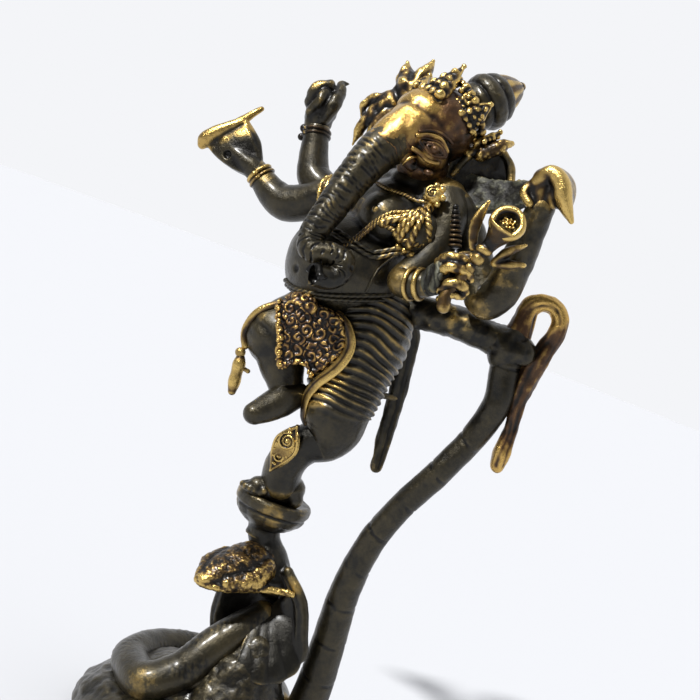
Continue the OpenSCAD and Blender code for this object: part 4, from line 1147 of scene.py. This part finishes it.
class DEITY_OT_head(bpy.types.Operator):
    """Adds the head, trunk, tusks, ears and their ornaments"""
    bl_idname = "deity.head"
    bl_label = "Head"

    def execute(self, context):
        skin = self.head()
        self.eyes_and_tusks(skin)
        self.trunk()
        self.ears()
        self.ear_ornaments()
        return {"FINISHED"}

    def head(self):
        """The domed head with its swollen cheeks, and the smooth skin that the face is laid on."""
        parts = [ball((8.6, -1, 217), (12.2, 12.4, 12)), ball((7.4, -7, 213), (10.4, 8.4, 9.4)),
                 ball((13.6, -7.4, 207.6), (5.6, 6, 5.6)),
                 ball(mirrored((13.6, -7.4, 207.6)), (5.6, 6, 5.6)), ball((9, -3, 203.6), (8.6, 8, 6.4)),
                 ball((6.2, -7.6, 218), (9.2, 8, 8)),
                 tube([(7, -7, 213.4, 9.2), (6, -11.6, 211.6, 8.4), (4, -17.6, 204.6, 6.8)], 36, 8)]
        head = fuse(parts, 0.4, 5)
        skin = skin_of(head)

        def lines(p):
            root = fade(-10 - p.y, 0, 3) * fade(p.z, 203, 207)
            fan = math.sin(3.4 * (p.z * 0.9 + p.y * 0.5) + 2.4 * blotch(p, 4))
            temple = fade(p.y, -9, -2) * fade(p.z, 205, 209)
            crease = math.sin(2.6 * (p.z - 0.5 * p.y) + 2.2 * blotch(p, 5))
            trunk_lines = 0.17 * root * fade(fan, 0.4, 1) * fade(206 - p.z, -4, 2)
            temple_lines = 0.08 * temple * fade(crease, 0.4, 1)
            return 0.35 * blotch(p, 3.5) - trunk_lines - temple_lines
        emboss(head, lines)
        finish("head", head, ["head"], "copper_bronze",
               wear_and_highlight_spots=[((6, -14, 219), 11, 0.8), ((4, -17, 211), 10, 0.75), ((17, -13, 209), 7, 0.3),
                     ((-2, -10, 220), 8, 0.4)])
        return skin

    def eyes_and_tusks(self, skin):
        """Almond eyes under ridged lids, and the short tusks with a scroll at their root."""
        details = []
        tusks = []
        for side in (lambda p, *rest: (*p, *rest), mirrored):
            middle = Vector(side((17.4, -11.4, 208.6)))
            spot, normal, _, _ = skin.find_nearest(middle)
            along = Vector(side((18.2, -10.9, 208.5))) - middle
            along = (along - normal * along.dot(normal)).normalized()
            up = normal.cross(along).normalized()
            up = up if up.z > 0 else -up
            for size, wire, rise in ((1.3, 0.55, 0.5), (1, 0.6, 0), (0.62, 0.5, 0)):
                rim = []
                for k in range(17):
                    a = math.tau * k / 16
                    wide = 4.3 * size * math.cos(a)
                    tall = 1.75 * size * math.sin(a) * (1 - 0.3 * abs(math.cos(a))) + rise
                    rim.append((*(spot + along * wide + up * tall), wire))
                details.append(tube(lay(rim, skin, 0.3, 3), 8, 1, None, 1, (0, 0, 1), 0, 0))
            details.append(ball(spot + normal * 0.2, (1.5, 1.5, 1.5), fineness=3))
            for rise, wire in ((3.9, 0.8), (5.4, 0.5)):
                brow = [(*(spot + along * x + up * (rise - 0.06 * x * x)), wire) for x in (-7, -4, -1, 2, 5)]
                details.append(tube(lay(brow, skin, 0.25, 4), 8, 1))
            cheek = [(*(spot + along * x - up * (4.6 - 0.05 * x * x)), 0.8) for x in (-5, -2, 1, 4)]
            details.append(tube(lay(cheek, skin, 0.25, 4), 8, 1))
            root = Vector(side((11.6, -13.4, 202.6)))
            near, out, _, _ = skin.find_nearest(root)
            tusks += [tube([(*(near - out), 2.6), (*(near + out * 1.2), 2.2), (*(near + out * 3), 1.6),
                            (*(near + out * 4.4 + Vector((0, 0, 1))), 0.7)], 18)]
            tusks += scroll(near + out * 1.1, out, 2.5, 1.5, 0.55)
            tusks.append(ball(Vector(side((17, -9.6, 201.6))), (1.7, 1.5, 1.3), fineness=3))
        finish("eyes", gather(details), [], "copper_bronze", uneven=0)
        finish("tusks", gather(tusks), ["tusks"], "copper_bronze", uneven=0.08)

    def trunk(self):
        """The trunk, wrinkled all round, which curls at the belly and ends in an open tip."""
        def wrinkles(t, a):
            turn = Vector((1.4 * math.cos(a), 1.4 * math.sin(a), 22 * t))
            wave = math.cos(math.tau * (TRUNK_WRINKLES * t + 1.1 * blotch(turn, 1.6)))
            cut = fade(wave, 0.35, 0.95) * fade(t, 0.18, 0.3) * fade(0.93 - t, 0, 0.04)
            deep = fade(blotch(turn * 1.7, 1), -0.35, 0.1)
            return 0.25 * blotch(turn, 0.9) - 0.5 * cut * deep + 0.15
        path = [(6.5, -9, 213, 8.2), (5.2, -14, 208.6, 7.4), (3.4, -19.4, 201.6, 6.4), (2.2, -24, 192, 5.5),
                (1.8, -27.8, 183, 4.8), (1.4, -30.6, 176, 4.3), (1.3, -32, 171.6, 4),
                (3, -32.8, 168.2, 3.7), (6, -32, 167.8, 3.5), (9.2, -30, 168.8, 3.4), (12.4, -28, 168, 3.4),
                (13, -28, 164.4, 3.4), (11.8, -30, 162.2, 3.3), (10, -33, 161.5, 3.2),
                (9.2, -34.8, 161.3, 3)]
        bm = tube(path, 64, 20, wrinkles, 1, (0, 0, 1), 1, 0)
        mouth = Vector(path[-1][:3])
        caps = [f for f in bm.faces if len(f.verts) > 4]
        tip = min(caps, key=lambda f: (f.calc_center_median() - mouth).length)
        bmesh.ops.inset_region(bm, faces=[tip], thickness=1.1, depth=0)
        inward = -tip.normal * 2.4
        walls = bmesh.ops.extrude_face_region(bm, geom=[tip])
        bmesh.ops.delete(bm, geom=[tip], context="FACES_ONLY")
        bmesh.ops.translate(bm, verts=[g for g in walls["geom"] if isinstance(g, bmesh.types.BMVert)],
                            vec=inward)
        finish("trunk", bm, ["trunk"], "dark_bronze",
               wear_and_highlight_spots=[((5, -15, 212), 10, 0.8), ((2, -24, 200), 7, 0.1), ((8, -32, 168), 6, 0.25)],
               uneven=0.1)

    def ears(self):
        """The fan-shaped ears with rolled rims."""
        rows = [[(16, 1, 211.5), (16, 1, 207), (16, 1, 203), (16, 1, 199)],
                [(21.5, 5.5, 213.6), (23, 9, 208), (23, 9, 203), (21.5, 7, 198)],
                [(26.6, 9, 216), (28.6, 12.4, 210), (28.6, 11.6, 203), (25.6, 9, 197.4)],
                [(29.6, 11.4, 214), (32.4, 12.4, 209), (32.4, 10.6, 202), (27.6, 7.6, 196.6)]]
        rim = [(18.4, 1, 204, 0.8), (19.4, 2.2, 208.4, 1.2), (20.6, 3.4, 212.2, 1.4), (23.4, 5.4, 215, 1.4),
               (26.4, 8.6, 216.4, 1.3), (29.4, 11.6, 214, 1.3), (31.8, 12.4, 209, 1.2),
               (31.6, 10.6, 202, 1.1), (27.6, 7.6, 196.4, 1)]
        near = fuse([patch(rows, 1.9, 6), tube(rim, 14, 6)], 0.4, 2)
        far_rows = [[mirrored(p) for p in row] for row in rows]
        sweep = Vector((-2, -7, 0))
        far_rows = [[tuple(Vector(p) + sweep * (i / 3)) for p in row] for i, row in enumerate(far_rows)]
        far_rim = [(*(Vector(mirrored(p[:3])) + sweep * min(1, max(0, (p[0] - 16) / 17))), p[3])
                   for p in rim]
        far = fuse([patch(far_rows, 1.9, 6), tube(far_rim, 14, 6)], 0.4, 2)
        for name, ear, node in (("ear_left", near, "ear_left"), ("ear_right", far, "ear_right")):
            emboss(ear, lambda p: 0.3 * blotch(p, 3))
            finish(name, ear, [node], "dark_bronze")
    def ear_ornaments(self):
        """The horned ornament at the left ear and the flame-like one at the right."""
        horn = fuse([tube([(23, 4.6, 213, 2.2), (26, 7, 216.4, 2.3), (27.6, 9, 218.8, 1.6),
                           (28.6, 11, 219.6, 0.7)],
                          16),
                     tube([(20, 3, 212, 1.6), (23.4, 5, 215.4, 1.6)], 14)],
                    0.35, 1)
        emboss(horn, lambda p: 0.35 * granules(p, 1.5))
        finish("ear_ornament_left", horn, ["ear_ornament_left"], "rubbed_brass")
        flame = [ball((-7.6, -1, 223.4), (5.4, 3.6, 6.4), (0, 20, 0)),
                 ball((-12, -3.4, 218), (4.4, 2.8, 5.2), (0, 30, 0)),
                 tube([(-8.4, -1, 225, 4), (-10.8, 0, 229, 3.1), (-12.8, 0.6, 233.2, 0.8)], 18),
                 tube([(-6, -0.6, 225, 4), (-5.6, 1.4, 230.4, 3.3), (-5.2, 2.6, 236, 0.8)], 18),
                 tube([(-10, -3, 219, 3.2), (-13.6, -4.2, 215.4, 2.8), (-15.4, -5.4, 210.6, 2.2),
                       (-16.6, -6, 206.4, 1.6), (-16.4, -6.4, 202.6, 0.7)],
                      18),
                 tube([(-13, -3.6, 219.4, 2), (-17, -4.2, 218.6, 1.9), (-19, -4.6, 215.4, 1.5),
                       (-18.4, -4.8, 212.4, 0.9)],
                      14),
                 tube([(-9, -3.6, 216, 2.6), (-11, -5.4, 211.6, 2.2), (-11.6, -6.6, 207.4, 1.2)], 14),
                 ball((-3, -0.6, 219), (4, 3, 4.6))]
        bm = fuse(flame, 0.4, 3)
        emboss(bm, lambda p: 0.15 * granules(p, 1.6) + 0.6 * blotch(p, 3.2) - 0.1)
        finish("ear_ornament_right", bm, ["ear_ornament_right"], "rubbed_brass",
               wear_and_highlight_spots=[((-8, -1, 229), 8, 0.25)])


class DEITY_OT_crown(bpy.types.Operator):
    """Adds the crown's bead band and leaves, the hair bun and its finial"""
    bl_idname = "deity.crown"
    bl_label = "Crown"

    def execute(self, context):
        self.crown_band()
        self.crown_leaves()
        self.hair_bun()
        return {"FINISHED"}

    def crown_band(self):
        """Two rings of beads round the back of the head."""
        axis = Vector((0.4, 0.66, 0.64)).normalized()
        side = axis.orthogonal().normalized()
        other = axis.cross(side)
        beads = []
        for k in range(CROWN_BEADS):
            a = math.tau * k / CROWN_BEADS
            spot = CROWN_MIDDLE + (side * math.cos(a) + other * math.sin(a)) * CROWN_RADIUS
            beads.append(ball(spot, 1.35 + 0.15 * (k % 2), fineness=3))
            beads.append(ball(spot - axis * 2.1 + (CROWN_MIDDLE - spot) * 0.02, 0.9, fineness=2))
        band = fuse(beads, 0.3, 1)
        emboss(band, lambda p: 0.5 * blotch(p, 1.7))
        finish("crown_band", band, ["crown_band"], "rubbed_brass", wear_and_highlight_spots=[((9, -4, 228), 8, 0.3)],
               uneven=0.05)

    def crown_leaves(self):
        """Pointed leaves that stand on the band, each filled with rows of grapes."""
        leaves = []
        for root, tip, wide in (((8.6, -9, 224.6), (11.2, -3.6, 236), 3.2),
                                ((18.6, -3, 220.4), (22.6, 0.6, 228), 2.5),
                                ((-1.6, -3.6, 224.6), (-2, -0.6, 231), 2.2),
                                ((22, 5, 216.6), (25, 7.6, 221.6), 1.9),
                                ((15, -5.6, 223), (17.6, -3.2, 229), 1.6)):
            root, tip = Vector(root), Vector(tip)
            along = tip - root
            out = (root - CROWN_MIDDLE).normalized()
            across = along.cross(out).normalized()
            leaves.append(tube([(*(root - along * 0.1), wide * 1.5), (*(root + along * 0.45), wide * 1.25),
                                (*tip, 0.6)],
                               20, 5, None, 0.5, out))
            for row in range(4):
                for place in range(4 - row):
                    spot = root + along * (row * 0.24 + 0.04) + across * (place - (3 - row) / 2) * wide * 0.86
                    leaves.append(ball(spot + out * wide * (0.62 - 0.08 * row), wide * (0.52 - 0.04 * row),
                                       fineness=3))
            leaves.append(ball(tip, 0.9, fineness=2))
        leaf_work = fuse(leaves, 0.28, 1)
        emboss(leaf_work, lambda p: 0.4 * blotch(p, 1.9))
        finish("crown_leaves", leaf_work, ["crown_leaves"], "rubbed_brass", wear_and_highlight_spots=[((10, -6, 232), 7, 0.3)],
               uneven=0.12)

    def hair_bun(self):
        """The braided bun, and the fluted cone that caps it."""
        top = Vector((0.28, 0.7, 0.66)).normalized()
        heart = Vector((14.4, 10.4, 229.6))
        bun = ball(heart, (8.8, 8.8, 8.8), fineness=6)

        def braids(p):
            lean = math.degrees(top.angle(p - heart))
            strand = abs(math.sin(math.radians(lean) * 4.6 + 0.5))
            return 1.1 * (strand ** 0.6 - 0.7) * fade(150 - lean, 0, 20) + 0.2 * blotch(p, 2)
        emboss(bun, braids)
        finish("hair_bun", bun, ["hair_bun"], "dark_bronze")
        cone = tube([(15.4, 13.2, 232.6, 7.2), (16.6, 16, 235, 5.8), (17.6, 18.2, 237, 3.7),
                     (18.2, 19.8, 238.4, 1.5)],
                    32, 6, lambda t, a: 0.15 * math.sin(9 * a))
        finish("crown_finial", cone, ["crown_finial"], "rubbed_brass", wear_and_highlight_spots=[((17, 18, 238), 6, 0.4)])


class DEITY_OT_stage(bpy.types.Operator):
    """Adds the pale floor, the studio light and the camera"""
    bl_idname = "deity.stage"
    bl_label = "Studio stage"

    def execute(self, context):
        settings = context.scene.deity_stage
        self.floor(context, settings)
        self.studio_world(context)
        self.sun(context)
        self.camera(context, settings)
        context.scene.view_settings.view_transform = "Standard"
        return {"FINISHED"}

    def floor(self, context, settings):
        """A wide disc of matt paper."""
        bm = bmesh.new()
        bmesh.ops.create_circle(bm, cap_ends=True, radius=settings.floor_radius, segments=96)
        mesh = bpy.data.meshes.new("floor")
        bm.to_mesh(mesh)
        bm.free()
        floor = bpy.data.objects.new("floor", mesh)
        context.scene.collection.objects.link(floor)
        paper = bpy.data.materials.new("matt_paper")
        paper.use_nodes = True
        shader = paper.node_tree.nodes["Principled BSDF"]
        shader.inputs["Base Color"].default_value = (*settings.floor_colour, 1)
        shader.inputs["Roughness"].default_value = 0.9
        mesh.materials.append(paper)

    def studio_world(self, context):
        """A white sweep behind the statue; the room on the camera's side is dimmer."""
        world = bpy.data.worlds.new("studio")
        world.use_nodes = True
        tree = world.node_tree
        sky = tree.nodes["Background"]
        sky.inputs["Color"].default_value = linear("#f4f5f8")
        way = add(tree, "ShaderNodeTexCoord").outputs["Generated"]
        depth = add(tree, "ShaderNodeSeparateXYZ", {}, {"Vector": way}).outputs["Y"]
        glow = ramp(tree, depth, -0.5, 0.35, 0.18, 1.0)
        tree.links.new(glow, sky.inputs["Strength"])
        context.scene.world = world

    def sun(self, context):
        """A slightly soft sun, high on the statue's right."""
        light = bpy.data.lights.new("key", "SUN")
        light.energy = SUN_STRENGTH
        light.angle = math.radians(4)
        lamp = bpy.data.objects.new("key", light)
        lamp.rotation_euler = direction(*SUN_ANGLES).to_track_quat("Z", "Y").to_euler()
        context.scene.collection.objects.link(lamp)

    def camera(self, context, settings):
        """The camera at the chosen angle, rolled so that the statue leans to the right."""
        aim = Vector((*AIM_ASIDE, AIM_HEIGHT * ((CAD_BOX[0] + CAD_BOX[1]) / 2).z))
        turn, roll = math.radians(settings.azimuth), math.radians(settings.roll)
        away = direction(settings.azimuth, settings.elevation)
        level = Vector((math.cos(turn), math.sin(turn), 0))
        up = away.cross(level)
        right = level * math.cos(roll) + up * math.sin(roll)
        top = up * math.cos(roll) - level * math.sin(roll)
        view = bpy.data.cameras.new("camera")
        view.lens = settings.lens
        view.sensor_width = 36
        view.clip_start = 0.01
        camera = bpy.data.objects.new("camera", view)
        facing = Matrix((right, top, away)).transposed().to_4x4()
        camera.matrix_world = Matrix.Translation(aim + away * settings.distance) @ facing
        context.scene.collection.objects.link(camera)
        context.scene.camera = camera


STEPS = (DEITY_OT_stage, DEITY_OT_finishes, DEITY_OT_base, DEITY_OT_snake, DEITY_OT_cup, DEITY_OT_legs,
         DEITY_OT_torso, DEITY_OT_belts, DEITY_OT_necklaces, DEITY_OT_arms, DEITY_OT_head, DEITY_OT_crown)


class DEITY_PT_panel(bpy.types.Panel):
    """Lists the statue's pieces and settings"""
    bl_idname = "DEITY_PT_panel"
    bl_label = "Deity"
    bl_space_type = "VIEW_3D"
    bl_region_type = "UI"
    bl_category = "Deity"

    def draw(self, context):
        for group in (context.scene.deity_finish, context.scene.deity_stage):
            for name in group.__annotations__:
                self.layout.prop(group, name)
        for step in STEPS:
            self.layout.operator(step.bl_idname)


CLASSES = (FinishSettings, StageSettings, *STEPS, DEITY_PT_panel)


def register():
    for item in CLASSES:
        bpy.utils.register_class(item)
    bpy.types.Scene.deity_finish = PointerProperty(type=FinishSettings)
    bpy.types.Scene.deity_stage = PointerProperty(type=StageSettings)


def unregister():
    del bpy.types.Scene.deity_stage
    del bpy.types.Scene.deity_finish
    for item in reversed(CLASSES):
        bpy.utils.unregister_class(item)


def main():
    register()
    for step in STEPS:
        group, name = step.bl_idname.split(".")
        getattr(getattr(bpy.ops, group), name)()


if __name__ == "__main__":
    main()
